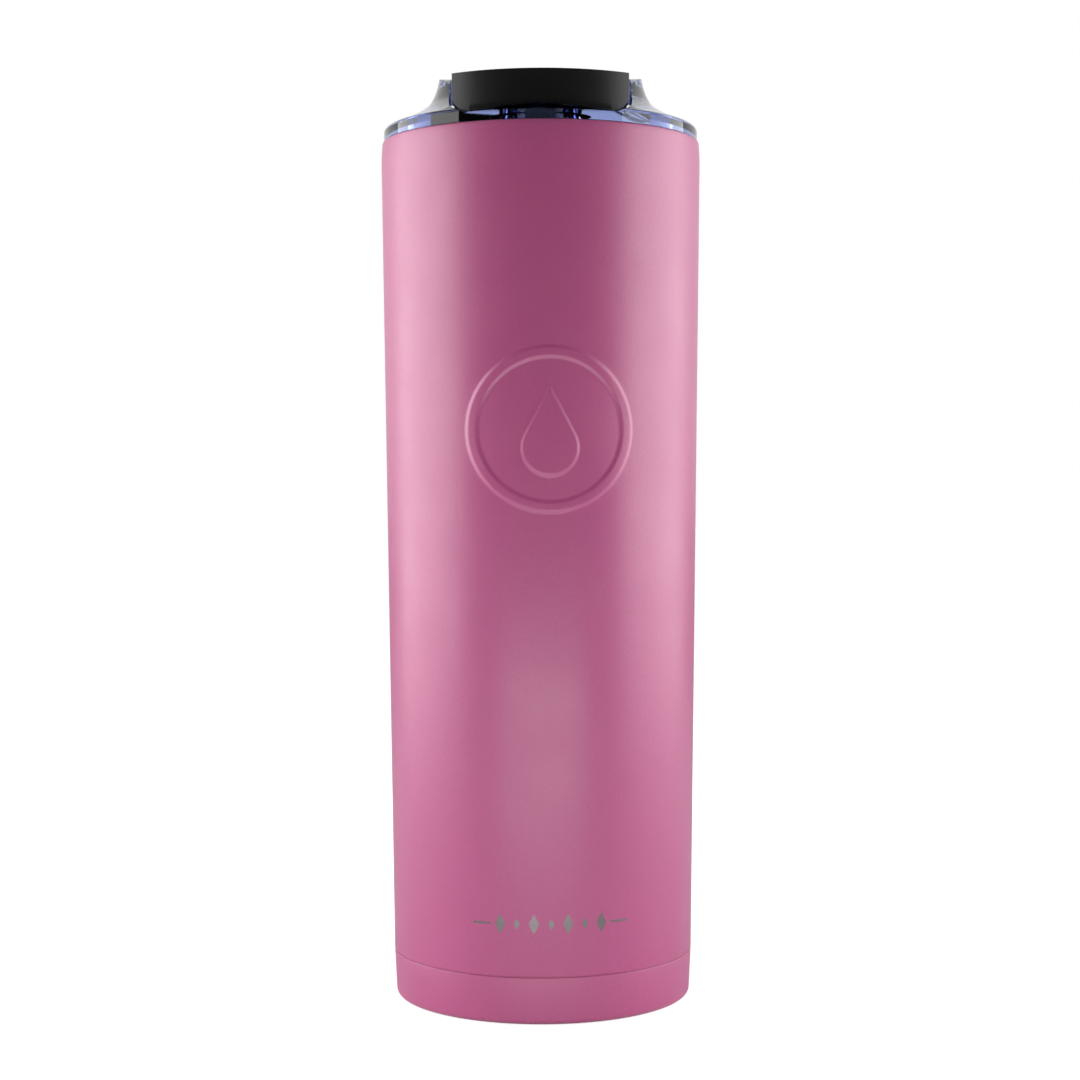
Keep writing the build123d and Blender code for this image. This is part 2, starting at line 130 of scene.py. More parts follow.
def turned(
    section: list[Point],
    rounds: tuple[tuple[Point, float], ...] = (),
    steps: int = STEPS,
    segments: int = 4,
) -> bmesh.types.BMesh:
    """Spins a closed half section about the bottle's axis.

    Args:
        section: corners as radius and height, in millimetres.
        rounds: corners to round, each with its radius.
        steps: segments round the axis.
        segments: edges along each rounding.

    Returns:
        The closed turned mesh.
    """
    mesh = bmesh.new()
    face = outline_face(mesh, section, Direction.Y)
    for (radius, height), size in rounds:
        round_corner(mesh, Vector((radius, 0.0, height)), size, segments)
    bmesh.ops.delete(mesh, geom=list(mesh.faces), context="FACES_ONLY")
    on_axis = [e for e in mesh.edges if all(abs(v.co.x) < 1e-9 for v in e.verts)]
    bmesh.ops.delete(mesh, geom=on_axis, context="EDGES")
    bmesh.ops.spin(
        mesh,
        geom=[*mesh.verts, *mesh.edges],
        cent=(0.0, 0.0, 0.0),
        axis=(0.0, 0.0, 1.0),
        dvec=(0.0, 0.0, 0.0),
        angle=2 * pi,
        steps=steps,
        use_merge=True,
        use_duplicate=False,
    )
    tidy(mesh)
    return mesh


def prism(
    points: list[Point],
    across: Direction,
    start: float,
    end: float,
    rounds: tuple[tuple[Point, float], ...] = (),
    segments: int = 8,
) -> bmesh.types.BMesh:
    """Extrudes a flat outline along an axis.

    Args:
        points: corners of the outline, in millimetres.
        across: axis of the extrusion.
        start: where it begins along the axis.
        end: where it ends.
        rounds: corners to round, each with its radius.
        segments: edges along each rounding.

    Returns:
        The closed prism.
    """
    mesh = bmesh.new()
    outline_face(mesh, points, across, start)
    for (a, b), size in rounds:
        corners = {
            Direction.X: Vector((start, a, b)),
            Direction.Y: Vector((a, start, b)),
            Direction.Z: Vector((a, b, start)),
        }
        round_corner(mesh, corners[across], size, segments)
    grown = bmesh.ops.extrude_face_region(mesh, geom=list(mesh.faces), use_keep_orig=True)
    moved = [g for g in grown["geom"] if isinstance(g, bmesh.types.BMVert)]
    bmesh.ops.translate(mesh, verts=moved, vec=Vector(across.value) * (end - start) * MM)
    tidy(mesh)
    return mesh


def drum(radius: float, start: float, end: float, along: Direction, centre: Vector, steps: int = 96):
    """A plain round bar or cutter.

    Args:
        radius: its radius, in millimetres.
        start: where it begins along its axis.
        end: where it ends.
        along: its axis.
        centre: a point that its axis goes through.
        steps: segments round it.

    Returns:
        The closed mesh.
    """
    mesh = bmesh.new()
    bmesh.ops.create_cone(
        mesh,
        cap_ends=True,
        segments=steps,
        radius1=radius * MM,
        radius2=radius * MM,
        depth=(end - start) * MM,
    )
    lay(mesh, along)
    middle = Vector(along.value) * (start + end) / 2
    bmesh.ops.translate(mesh, verts=mesh.verts, vec=(centre + middle) * MM)
    return mesh


def lay(mesh: bmesh.types.BMesh, along: Direction) -> None:
    """Turns a mesh made about Z so that it lies along another axis."""
    turns = {
        Direction.X: Matrix.Rotation(pi / 2, 3, "Y"),
        Direction.Y: Matrix.Rotation(-pi / 2, 3, "X"),
        Direction.Z: Matrix.Identity(3),
    }
    bmesh.ops.rotate(mesh, verts=mesh.verts, cent=(0.0, 0.0, 0.0), matrix=turns[along])


def as_object(mesh: bmesh.types.BMesh, name: str, crease: float = 32.0) -> bpy.types.Object:
    """Turns a bmesh into an object in the scene, smooth but for its sharp edges.

    Args:
        mesh: the mesh, which is freed.
        name: name of the piece.
        crease: angle in degrees above which an edge shows sharp.

    Returns:
        The new object.
    """
    data = bpy.data.meshes.new(name)
    mesh.to_mesh(data)
    mesh.free()
    data.shade_smooth()
    data.set_sharp_from_angle(angle=radians(crease))
    made = bpy.data.objects.new(name, data)
    bpy.context.scene.collection.objects.link(made)
    return made


class Join(Enum):
    """How one solid is worked into another."""

    CUT = "DIFFERENCE"
    ADD = "UNION"
    KEEP = "INTERSECT"


def worked(base: bpy.types.Object, tool: bmesh.types.BMesh, how: Join) -> None:
    """Cuts, adds or keeps a tool's space in a solid, and removes the tool.

    Args:
        base: solid that is changed.
        tool: mesh of the tool, which is freed.
        how: what is done with it.
    """
    cutter = as_object(tool, "tool")
    step = base.modifiers.new("work", "BOOLEAN")
    step.operation = how.value
    step.solver = "EXACT"
    step.object = cutter
    seen = base.evaluated_get(bpy.context.evaluated_depsgraph_get())
    data = bpy.data.meshes.new_from_object(seen)
    base.modifiers.clear()
    old = base.data
    base.data = data
    name = old.name
    bpy.data.meshes.remove(old)
    data.name = name
    spent = cutter.data
    bpy.data.objects.remove(cutter)
    bpy.data.meshes.remove(spent)


def eased(
    base: bpy.types.Object,
    width: float,
    angle: float = 30.0,
    segments: int = 3,
    merge: float = 0.02,
) -> bpy.types.Object:
    """Rounds every sharp edge of a finished solid a little.

    Args:
        base: the solid.
        width: how far the rounding reaches from an edge, in millimetres.
        angle: angle in degrees from which an edge is rounded.
        segments: faces across the rounding.
        merge: distance under which corners are joined first.

    Returns:
        The same object.
    """
    mesh = bmesh.new()
    mesh.from_mesh(base.data)
    bmesh.ops.remove_doubles(mesh, verts=mesh.verts, dist=merge * MM)
    bmesh.ops.dissolve_degenerate(mesh, edges=mesh.edges, dist=merge * MM)
    bmesh.ops.dissolve_limit(
        mesh, angle_limit=radians(0.2), verts=mesh.verts, edges=mesh.edges, delimit=set()
    )
    mesh.to_mesh(base.data)
    mesh.free()
    soften = base.modifiers.new("ease", "BEVEL")
    soften.width = width * MM
    soften.segments = segments
    soften.limit_method = "ANGLE"
    soften.angle_limit = radians(angle)
    soften.use_clamp_overlap = True
    soften.harden_normals = False
    base.data.shade_smooth()
    weigh = base.modifiers.new("faces", "WEIGHTED_NORMAL")
    weigh.keep_sharp = True
    weigh.weight = 80
    return base


def copy_of(node: str, name: str) -> bpy.types.Object:
    """Copies a node's mesh, with its loose triangles joined, as a new piece.

    Args:
        node: node of the frame.
        name: name of the piece.

    Returns:
        The new object.
    """
    mesh = bmesh.new()
    mesh.from_mesh(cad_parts[node].data)
    bmesh.ops.remove_doubles(mesh, verts=mesh.verts, dist=0.001 * MM)
    return as_object(mesh, name)


def fit(piece: bpy.types.Object, body: Body, finish: "Finish", slot: str, *nodes: str) -> None:
    """Gives a piece its finish and its body, and hides the nodes that it stands for.

    Args:
        piece: the finished piece.
        body: body that it moves with.
        finish: finish for its whole surface.
        slot: not used.
        nodes: nodes that it replaces.
    """
    if not piece.data.materials:
        piece.data.materials.append(finish.material())
    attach(piece, body.value)
    if nodes:
        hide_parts(*nodes)
    log.info("%s rides on %s, %d faces", piece.name, body.value, len(piece.data.polygons))


# ------------------------------------------------------------- shader helpers


class Nodes:
    """Places and links shader nodes in one tree."""

    def __init__(self, tree: bpy.types.NodeTree) -> None:
        """Starts on a tree.

        Args:
            tree: tree of a material, group or world.
        """
        self.tree = tree

    def add(self, kind: str, settings: dict | None = None, **inputs):
        """Adds a node.

        Args:
            kind: the node's type name.
            settings: its own settings.
            inputs: values or sockets for its inputs, with _ for a space.

        Returns:
            The new node.
        """
        node = self.tree.nodes.new(kind)
        for key, value in (settings or {}).items():
            setattr(node, key, value)
        for key, value in inputs.items():
            self.feed(node.inputs[key.replace("_", " ")], value)
        return node

    def feed(self, socket, value) -> None:
        """Links a socket to an input, or sets the input to a plain value."""
        if isinstance(value, bpy.types.NodeSocket):
            self.tree.links.new(value, socket)
        else:
            socket.default_value = value

    def math(self, operation: str, *values, clamp: bool = False):
        """Adds a maths node.

        Args:
            operation: what it does.
            values: its inputs in order.
            clamp: whether the result is kept between 0 and 1.

        Returns:
            Its output socket.
        """
        node = self.tree.nodes.new("ShaderNodeMath")
        node.operation = operation
        node.use_clamp = clamp
        for socket, value in zip(node.inputs, values):
            self.feed(socket, value)
        return node.outputs[0]

    def blend(self, factor, first, second):
        """Mixes two colours.

        Args:
            factor: share of the second.
            first: first colour or socket.
            second: second colour or socket.

        Returns:
            The mixed colour's socket.
        """
        node = self.tree.nodes.new("ShaderNodeMix")
        node.data_type = "RGBA"
        self.feed(node.inputs["Factor"], factor)
        self.feed(node.inputs[6], first)
        self.feed(node.inputs[7], second)
        return node.outputs[2]

    def spread(self, value, low: float, high: float, to_low: float, to_high: float):
        """Stretches a value from one range to another, clamped.

        Args:
            value: socket to stretch.
            low: start of its range.
            high: end of its range.
            to_low: start of the new range.
            to_high: end of the new range.

        Returns:
            The new value's socket.
        """
        node = self.tree.nodes.new("ShaderNodeMapRange")
        self.feed(node.inputs["Value"], value)
        for key, number in zip(("From Min", "From Max", "To Min", "To Max"), (low, high, to_low, to_high)):
            node.inputs[key].default_value = number
        return node.outputs["Result"]

    def noise(self, scale: float, detail: float = 2.0, rough: float = 0.5, stretch=(1.0, 1.0, 1.0)):
        """A noise pattern on the object's own coordinates.

        Args:
            scale: cells in a metre.
            detail: finer layers.
            rough: weight of those layers.
            stretch: scale along each axis.

        Returns:
            The pattern's value socket.
        """
        where = self.add("ShaderNodeTexCoord").outputs["Object"]
        placed = self.add("ShaderNodeMapping", Vector=where, Scale=stretch).outputs[0]
        made = self.add("ShaderNodeTexNoise", Vector=placed, Scale=scale, Detail=detail, Roughness=rough)
        return made.outputs["Fac"]


def effect(name: str, inputs: dict[str, object], outputs: dict[str, str]):
    """Starts a shader node group.

    Args:
        name: name of the group.
        inputs: input names with their first values, a number or a colour.
        outputs: output names with their socket types.

    Returns:
        The group, its nodes helper, its input node and its output node.
    """
    group = bpy.data.node_groups.new(name, "ShaderNodeTree")
    for key, value in inputs.items():
        kind = "NodeSocketColor" if isinstance(value, tuple) else "NodeSocketFloat"
        socket = group.interface.new_socket(name=key, in_out="INPUT", socket_type=kind)
        socket.default_value = value
    for key, kind in outputs.items():
        group.interface.new_socket(name=key, in_out="OUTPUT", socket_type=kind)
    nodes = Nodes(group)
    return group, nodes, group.nodes.new("NodeGroupInput"), group.nodes.new("NodeGroupOutput")


def tone_drift() -> bpy.types.NodeTree:
    """Slow drift of a colour, lighter and darker over centimetres.

    Returns:
        The node group, with inputs Colour and Amount and the output Colour.
    """
    found = bpy.data.node_groups.get("tone_drift")
    if found:
        return found
    group, nodes, start, end = effect(
        "tone_drift", {"Colour": (0.5, 0.5, 0.5, 1.0), "Amount": 0.1}, {"Colour": "NodeSocketColor"}
    )
    wide = nodes.noise(45.0, 3.0, 0.55)
    fine = nodes.noise(700.0, 2.0, 0.6)
    both = nodes.math("ADD", nodes.math("MULTIPLY", wide, 0.7), nodes.math("MULTIPLY", fine, 0.3))
    centred = nodes.math("SUBTRACT", both, 0.5)
    swing = nodes.math("MULTIPLY", centred, start.outputs["Amount"])
    gain = nodes.math("ADD", 1.0, nodes.math("MULTIPLY", swing, 2.0))
    toned = nodes.add("ShaderNodeVectorMath", {"operation": "SCALE"})
    nodes.feed(toned.inputs[0], start.outputs["Colour"])
    nodes.feed(toned.inputs["Scale"], gain)
    nodes.feed(end.inputs["Colour"], toned.outputs[0])
    return group


def handling_marks() -> bpy.types.NodeTree:
    """Faint smudges and rubbed spots in a surface's gloss.

    Returns:
        The node group, with inputs Roughness and Amount and the output Roughness.
    """
    found = bpy.data.node_groups.get("handling_marks")
    if found:
        return found
    group, nodes, start, end = effect(
        "handling_marks", {"Roughness": 0.4, "Amount": 0.1}, {"Roughness": "NodeSocketFloat"}
    )
    smudge = nodes.spread(nodes.noise(60.0, 4.0, 0.6), 0.35, 0.7, -0.5, 1.0)
    speck = nodes.spread(nodes.noise(1400.0, 2.0, 0.5), 0.62, 0.75, 0.0, 0.6)
    mark = nodes.math("MULTIPLY", nodes.math("ADD", smudge, speck), start.outputs["Amount"])
    total = nodes.math("ADD", start.outputs["Roughness"], mark, clamp=True)
    nodes.feed(end.inputs["Roughness"], total)
    return group


def fine_grain() -> bpy.types.NodeTree:
    """Pebbled grain of a sprayed or spark-eroded surface.

    Returns:
        The node group, with the input Pitch, cells in a metre, and outputs Height and Shade.
    """
    found = bpy.data.node_groups.get("fine_grain")
    if found:
        return found
    group, nodes, start, end = effect(
        "fine_grain", {"Pitch": 1500.0}, {"Height": "NodeSocketFloat", "Shade": "NodeSocketFloat"}
    )
    where = nodes.add("ShaderNodeTexCoord").outputs["Object"]
    lumps = nodes.add("ShaderNodeTexNoise", Vector=where, Scale=start.outputs["Pitch"], Detail=1.5)
    cells = nodes.add("ShaderNodeTexVoronoi", {"feature": "SMOOTH_F1"}, Vector=where, Scale=start.outputs["Pitch"])
    pebble = nodes.math("SUBTRACT", 1.0, cells.outputs["Distance"])
    height = nodes.math("ADD", nodes.math("MULTIPLY", pebble, 0.6), nodes.math("MULTIPLY", lumps.outputs["Fac"], 0.7))
    nodes.feed(end.inputs["Height"], height)
    nodes.feed(end.inputs["Shade"], nodes.spread(lumps.outputs["Fac"], 0.3, 0.7, 0.0, 1.0))
    return group


def turning_lines() -> bpy.types.NodeTree:
    """Fine lines that run round a turned or polished metal wall.

    Returns:
        The node group, with outputs Height and Shade.
    """
    found = bpy.data.node_groups.get("turning_lines")
    if found:
        return found
    group, nodes, _, end = effect(
        "turning_lines", {}, {"Height": "NodeSocketFloat", "Shade": "NodeSocketFloat"}
    )
    fine = nodes.noise(40.0, 3.0, 0.7, stretch=(1.0, 1.0, 160.0))
    broad = nodes.noise(12.0, 2.0, 0.6, stretch=(1.0, 1.0, 40.0))
    nodes.feed(end.inputs["Height"], fine)
    nodes.feed(end.inputs["Shade"], nodes.math("ADD", nodes.math("MULTIPLY", fine, 0.6), nodes.math("MULTIPLY", broad, 0.4)))
    return group


# -------------------------------------------------------------------- finishes


@dataclass(frozen=True)
class Finish:
    """A surface finish: base values that each kind of finish builds on."""

    name: str
    colour: Colour
    roughness: float
    drift: float = 0.1
    marks: float = 0.05

    def material(self) -> bpy.types.Material:
        """Builds the material once, and gives the same one after that.

        Returns:
            The material.
        """
        found = bpy.data.materials.get(self.name)
        if found:
            return found
        made = bpy.data.materials.new(self.name)
        made.use_nodes = True
        made.node_tree.nodes.clear()
        nodes = Nodes(made.node_tree)
        shader = nodes.add("ShaderNodeBsdfPrincipled")
        out = nodes.add("ShaderNodeOutputMaterial")
        nodes.feed(out.inputs["Surface"], shader.outputs[0])
        toned = nodes.add("ShaderNodeGroup", {"node_tree": tone_drift()})
        toned.inputs["Colour"].default_value = (*self.colour, 1.0)
        toned.inputs["Amount"].default_value = self.drift
        marked = nodes.add("ShaderNodeGroup", {"node_tree": handling_marks()})
        marked.inputs["Roughness"].default_value = self.roughness
        marked.inputs["Amount"].default_value = self.marks
        self.dress(nodes, shader, toned.outputs[0], marked.outputs[0])
        return made

    def dress(self, nodes: Nodes, shader, colour, roughness) -> None:
        """Links the drifting colour and the marked roughness, and nothing else."""
        nodes.feed(shader.inputs["Base Color"], colour)
        nodes.feed(shader.inputs["Roughness"], roughness)

    def bump(self, nodes: Nodes, shader, height, strength: float, depth: float) -> None:
        """Feeds a height pattern to the shader's normal.

        Args:
            nodes: the material's nodes.
            shader: its shader.
            height: socket of the pattern.
            strength: share of the bump.
            depth: its depth, in millimetres.
        """
        made = nodes.add("ShaderNodeBump", Height=height, Strength=strength, Distance=depth * MM)
        nodes.feed(shader.inputs["Normal"], made.outputs[0])


@dataclass(frozen=True)
class PowderCoat(Finish):
    """Satin powder coat, pebbled, rubbed a little where the bottle stands."""

    pitch: float = 1500.0
    depth: float = 0.05
    rubbed: Colour = (0.50, 0.47, 0.47)

    def dress(self, nodes: Nodes, shader, colour, roughness) -> None:
        """Adds the pebbled grain, its paler peaks and the rubbed foot.

        Args:
            nodes: the material's nodes.
            shader: its shader.
            colour: socket of the drifting colour.
            roughness: socket of the marked roughness.
        """
        grain = nodes.add("ShaderNodeGroup", {"node_tree": fine_grain()}, Pitch=self.pitch)
        pale = tuple(min(1.0, c * 1.10 + 0.012) for c in self.colour)
        share = nodes.math("MULTIPLY", grain.outputs["Shade"], 0.35)
        peaks = nodes.blend(share, colour, (*pale, 1.0))
        where = nodes.add("ShaderNodeTexCoord").outputs["Object"]
        height = nodes.add("ShaderNodeSeparateXYZ", Vector=where).outputs["Z"]
        near_foot = nodes.spread(height, 0.0, 0.0012, 1.0, 0.0)
        patchy = nodes.spread(nodes.noise(900.0, 3.0, 0.6), 0.45, 0.62, 0.0, 1.0)
        wear = nodes.math("MULTIPLY", near_foot, patchy)
        nodes.feed(shader.inputs["Base Color"], nodes.blend(wear, peaks, (*self.rubbed, 1.0)))
        nodes.feed(shader.inputs["Metallic"], nodes.math("MULTIPLY", wear, 0.9))
        nodes.feed(shader.inputs["Roughness"], roughness)
        self.bump(nodes, shader, grain.outputs["Height"], 0.55, self.depth)
        shader.inputs["Specular IOR Level"].default_value = 1.0
        shader.inputs["Sheen Weight"].default_value = 0.35
        shader.inputs["Sheen Roughness"].default_value = 0.45
        shader.inputs["Sheen Tint"].default_value = (1.0, 0.86, 0.93, 1.0)


@dataclass(frozen=True)
class TurnedSteel(Finish):
    """Stainless steel with fine lines running round it."""

    depth: float = 0.01

    def dress(self, nodes: Nodes, shader, colour, roughness) -> None:
        """Adds the turning lines to the colour, gloss and relief.

        Args:
            nodes: the material's nodes.
            shader: its shader.
            colour: socket of the drifting colour.
            roughness: socket of the marked roughness.
        """
        lines = nodes.add("ShaderNodeGroup", {"node_tree": turning_lines()})
        dull = tuple(c * 0.8 for c in self.colour)
        nodes.feed(shader.inputs["Base Color"], nodes.blend(lines.outputs["Shade"], colour, (*dull, 1.0)))
        swing = nodes.math("MULTIPLY", nodes.math("SUBTRACT", lines.outputs["Shade"], 0.5), 0.25)
        nodes.feed(shader.inputs["Roughness"], nodes.math("ADD", roughness, swing, clamp=True))
        shader.inputs["Metallic"].default_value = 1.0
        self.bump(nodes, shader, lines.outputs["Height"], 0.4, self.depth)


@dataclass(frozen=True)
class Moulded(Finish):
    """Moulded plastic or rubber with a fine spark-eroded grain."""

    pitch: float = 3500.0
    depth: float = 0.01
    specular: float = 0.5

    def dress(self, nodes: Nodes, shader, colour, roughness) -> None:
        """Adds the fine grain.

        Args:
            nodes: the material's nodes.
            shader: its shader.
            colour: socket of the drifting colour.
            roughness: socket of the marked roughness.
        """
        grain = nodes.add("ShaderNodeGroup", {"node_tree": fine_grain()}, Pitch=self.pitch)
        nodes.feed(shader.inputs["Base Color"], colour)
        nodes.feed(shader.inputs["Roughness"], roughness)
        shader.inputs["Specular IOR Level"].default_value = self.specular
        self.bump(nodes, shader, grain.outputs["Height"], 0.35, self.depth)


@dataclass(frozen=True)
class ClearPlastic(Finish):
    """Polished, tinted, see-through moulding."""

    index: float = 1.5
    through: float = 1.0
    depth: float = 0.02

    def dress(self, nodes: Nodes, shader, colour, roughness) -> None:
        """Lets the light through, with a faint moulding wave in the surface.

        Args:
            nodes: the material's nodes.
            shader: its shader.
            colour: socket of the drifting colour.
            roughness: socket of the marked roughness.
        """
        nodes.feed(shader.inputs["Base Color"], colour)
        nodes.feed(shader.inputs["Roughness"], roughness)
        shader.inputs["Metallic"].default_value = 0.0
        shader.inputs["Transmission Weight"].default_value = self.through
        shader.inputs["IOR"].default_value = self.index
        self.bump(nodes, shader, nodes.noise(90.0, 2.0, 0.5), 0.25, self.depth)


COAT = PowderCoat("orchid_powder_coat", (0.62, 0.11, 0.30), 0.38, 0.06, 0.05)
STEEL = TurnedSteel("turned_steel", (0.62, 0.61, 0.60), 0.26, 0.08, 0.06)
MARK_STEEL = TurnedSteel("etched_steel", (0.34, 0.30, 0.31), 0.42, 0.10, 0.05)
PIN_STEEL = TurnedSteel("ground_pin_steel", (0.66, 0.66, 0.66), 0.22, 0.05, 0.05)
GETTER_METAL = TurnedSteel("sintered_getter", (0.26, 0.26, 0.27), 0.6, 0.2, 0.1, 0.03)
BEAD_GLASS = Moulded("fused_bead", (0.10, 0.13, 0.11), 0.15, 0.2, 0.05, 1800.0, 0.01)
CLEAR = ClearPlastic("smoke_blue_clear", (0.26, 0.32, 0.62), 0.04, 0.04, 0.015)
GASKET = Moulded("gasket_silicone", (0.50, 0.51, 0.56), 0.45, 0.08, 0.06, 2200.0, 0.01)
NYLON = Moulded("natural_nylon", (0.60, 0.62, 0.68), 0.38, 0.06, 0.05)
BLACK = Moulded("satin_black", (0.010, 0.010, 0.011), 0.36, 0.15, 0.06, 3800.0, 0.008)
STOPPER = Moulded("soft_black_silicone", (0.013, 0.013, 0.014), 0.52, 0.15, 0.06, 2600.0, 0.01)
GRID = Moulded("cage_black", (0.014, 0.015, 0.017), 0.40, 0.15, 0.06, 3200.0, 0.012)


# ------------------------------------------------------------------ steel body


@dataclass(frozen=True)
class Emblem:
    """Plain ring with a drop in it, pressed out of the front of the shell. Millimetres."""

    centre: float = 148.7
    turn: float = 3.0
    radius: float = 20.5
    ring: float = 2.6
    relief: float = 0.4
    shoulder: float = 0.55
    drop_radius: float = 7.0
    drop_sink: float = 4.5
    drop_rise: float = 10.5

    def reach(self) -> float:
        """How far from its centre the relief can go."""
        return self.radius + 2 * self.shoulder

    def distance(self, across: float, up: float) -> float:
        """Signed distance to the emblem's outline.

        Args:
            across: place to the right of its centre.
            up: place above its centre.

        Returns:
            The distance, negative inside the ring or the drop.
        """
        ring = abs(hypot(across, up) - self.radius + self.ring / 2) - self.ring / 2
        slant = asin(self.drop_radius / (self.drop_rise + self.drop_sink))
        side, rise = abs(across), up + self.drop_sink
        along = rise * cos(slant) - side * sin(slant)
        if along > 0:
            drop = side * cos(slant) + rise * sin(slant) - self.drop_radius
        else:
            drop = hypot(side, rise) - self.drop_radius
        return min(ring, drop)

    def height(self, across: float, up: float) -> float:
        """How far the steel stands out at a place.

        Args:
            across: place to the right of the emblem's centre.
            up: place above it.

        Returns:
            The relief there, rising over a soft shoulder.
        """
        share = 0.5 - self.distance(across, up) / (2 * self.shoulder)
        share = min(1.0, max(0.0, share))
        return self.relief * share * share * (3 - 2 * share)


@dataclass
class SteelBody:
    """Double-walled steel body with its base cup, liner and etched mark. Millimetres."""

    rim_radius: float = 41.8
    top_radius: float = 42.1
    top_height: float = 221.0
    seam_radius: float = 39.5
    seam_height: float = 12.0
    seam_gap: float = 0.3
    foot_radius: float = 38.9
    foot_corner: float = 1.4
    shell_wall: float = 0.5
    rim_edge: float = 0.4
    liner_wall: float = 0.4
    neck_radius: float = 38.4
    liner_top: float = 208.0
    liner_foot_radius: float = 35.7
    liner_floor: float = 21.5
    liner_corner: float = 9.0
    contact_width: float = 4.0
    recess: float = 1.6
    joggle: float = 3.0
    thread_pitch: float = 5.0
    thread_depth: float = 1.0
    thread_top: float = 217.5
    thread_turns: float = 1.6
    emblem: Emblem = field(default_factory=Emblem)

    def shell_radius(self, height: float) -> float:
        """Outside radius of the shell at a height."""
        taper = (self.top_radius - self.seam_radius) / (self.top_height - self.seam_height)
        return self.seam_radius + taper * (height - self.seam_height)

    def shell(self) -> bpy.types.Object:
        """Turns the outer shell and presses the emblem out of its front.

        Returns:
            The shell, with its folded rim left as bare steel.
        """
        wall, liner = self.shell_wall, self.neck_radius + self.liner_wall
        foot = self.seam_height + self.seam_gap
        start = self.emblem.centre - self.emblem.reach() - 2.0
        rows = [start + 1.1 * n for n in range(43)]
        section = [
            (self.shell_radius(foot) - wall, foot),
            (self.shell_radius(foot), foot),
            *[(self.shell_radius(h), h) for h in rows],
            (self.top_radius, self.top_height),
            (self.rim_radius, RIM),
            (liner, RIM),
            (liner, RIM - wall),
            (self.rim_radius - wall, RIM - wall),
            (self.top_radius - wall, self.top_height),
        ]
        rounds = (
            ((self.rim_radius, RIM), self.rim_edge),
            ((self.shell_radius(foot), foot), 0.2),
            ((self.top_radius, self.top_height), 2.4),
        )
        mesh = turned(section, rounds, steps=240)
        self.press(mesh)
        bare = [f for f in mesh.faces if f.calc_center_median().z > (RIM - 0.06) * MM]
        for face in bare:
            face.material_index = 1
        made = as_object(mesh, "shell_skin")
        made.data.materials.append(COAT.material())
        made.data.materials.append(STEEL.material())
        return made

    def press(self, mesh: bmesh.types.BMesh) -> None:
        """Divides the front of the shell finely and lifts the emblem out of it.

        Args:
            mesh: mesh of the shell.
        """
        emblem, turn = self.emblem, radians(self.emblem.turn)
        side, out = Vector((cos(turn), sin(turn), 0.0)), Vector((sin(turn), -cos(turn), 0.0))

        def place(vert) -> Point:
            """Place of a corner in the emblem's own plane, in millimetres."""
            return vert.co.dot(side) / MM, vert.co.z / MM - emblem.centre

        def in_window(vert) -> bool:
            """Whether a corner lies on the front, within the emblem's reach."""
            across, up = place(vert)
            radius = hypot(vert.co.x, vert.co.y) / MM
            outside = radius > self.shell_radius(vert.co.z / MM) - 0.1
            edge = emblem.reach() + 0.4
            return outside and vert.co.dot(out) > 0 and max(abs(across), abs(up)) < edge

        window = {v for v in mesh.verts if in_window(v)}
        edges = [e for e in mesh.edges if e.verts[0] in window and e.verts[1] in window]
        bmesh.ops.subdivide_edges(mesh, edges=edges, cuts=3, use_grid_fill=True)
        for vert in mesh.verts:
            if not in_window(vert):
                continue
            radial = Vector((vert.co.x, vert.co.y, 0.0)).normalized()
            radius = self.shell_radius(vert.co.z / MM)
            vert.co.xy = (radial * (radius + emblem.height(*place(vert))) * MM).xy
        bmesh.ops.recalc_face_normals(mesh, faces=mesh.faces)

    def liner(self) -> bpy.types.Object:
        """Turns the drink's steel cup and rolls the thread inside its mouth.

        Returns:
            The liner.
        """
        wall = self.liner_wall
        section = [
            (0.0, self.liner_floor - wall),
            (self.liner_foot_radius + wall, self.liner_floor - wall),
            (self.neck_radius + wall, self.liner_top),
            (self.neck_radius + wall, RIM),
            (self.neck_radius, RIM),
            (self.neck_radius, self.liner_top),
            (self.liner_foot_radius, self.liner_floor),
            (0.0, self.liner_floor),
        ]
        outer = (self.liner_foot_radius + wall, self.liner_floor - wall)
        inner = (self.liner_foot_radius, self.liner_floor)
        rounds = ((outer, self.liner_corner + wall), (inner, self.liner_corner))
        mesh = turned(section, rounds, segments=8)
        foot = self.thread_top - self.thread_pitch * self.thread_turns
        rib(mesh, self.neck_radius, foot, self.thread_pitch, self.thread_turns, -self.thread_depth)
        return as_object(mesh, "liner_skin")

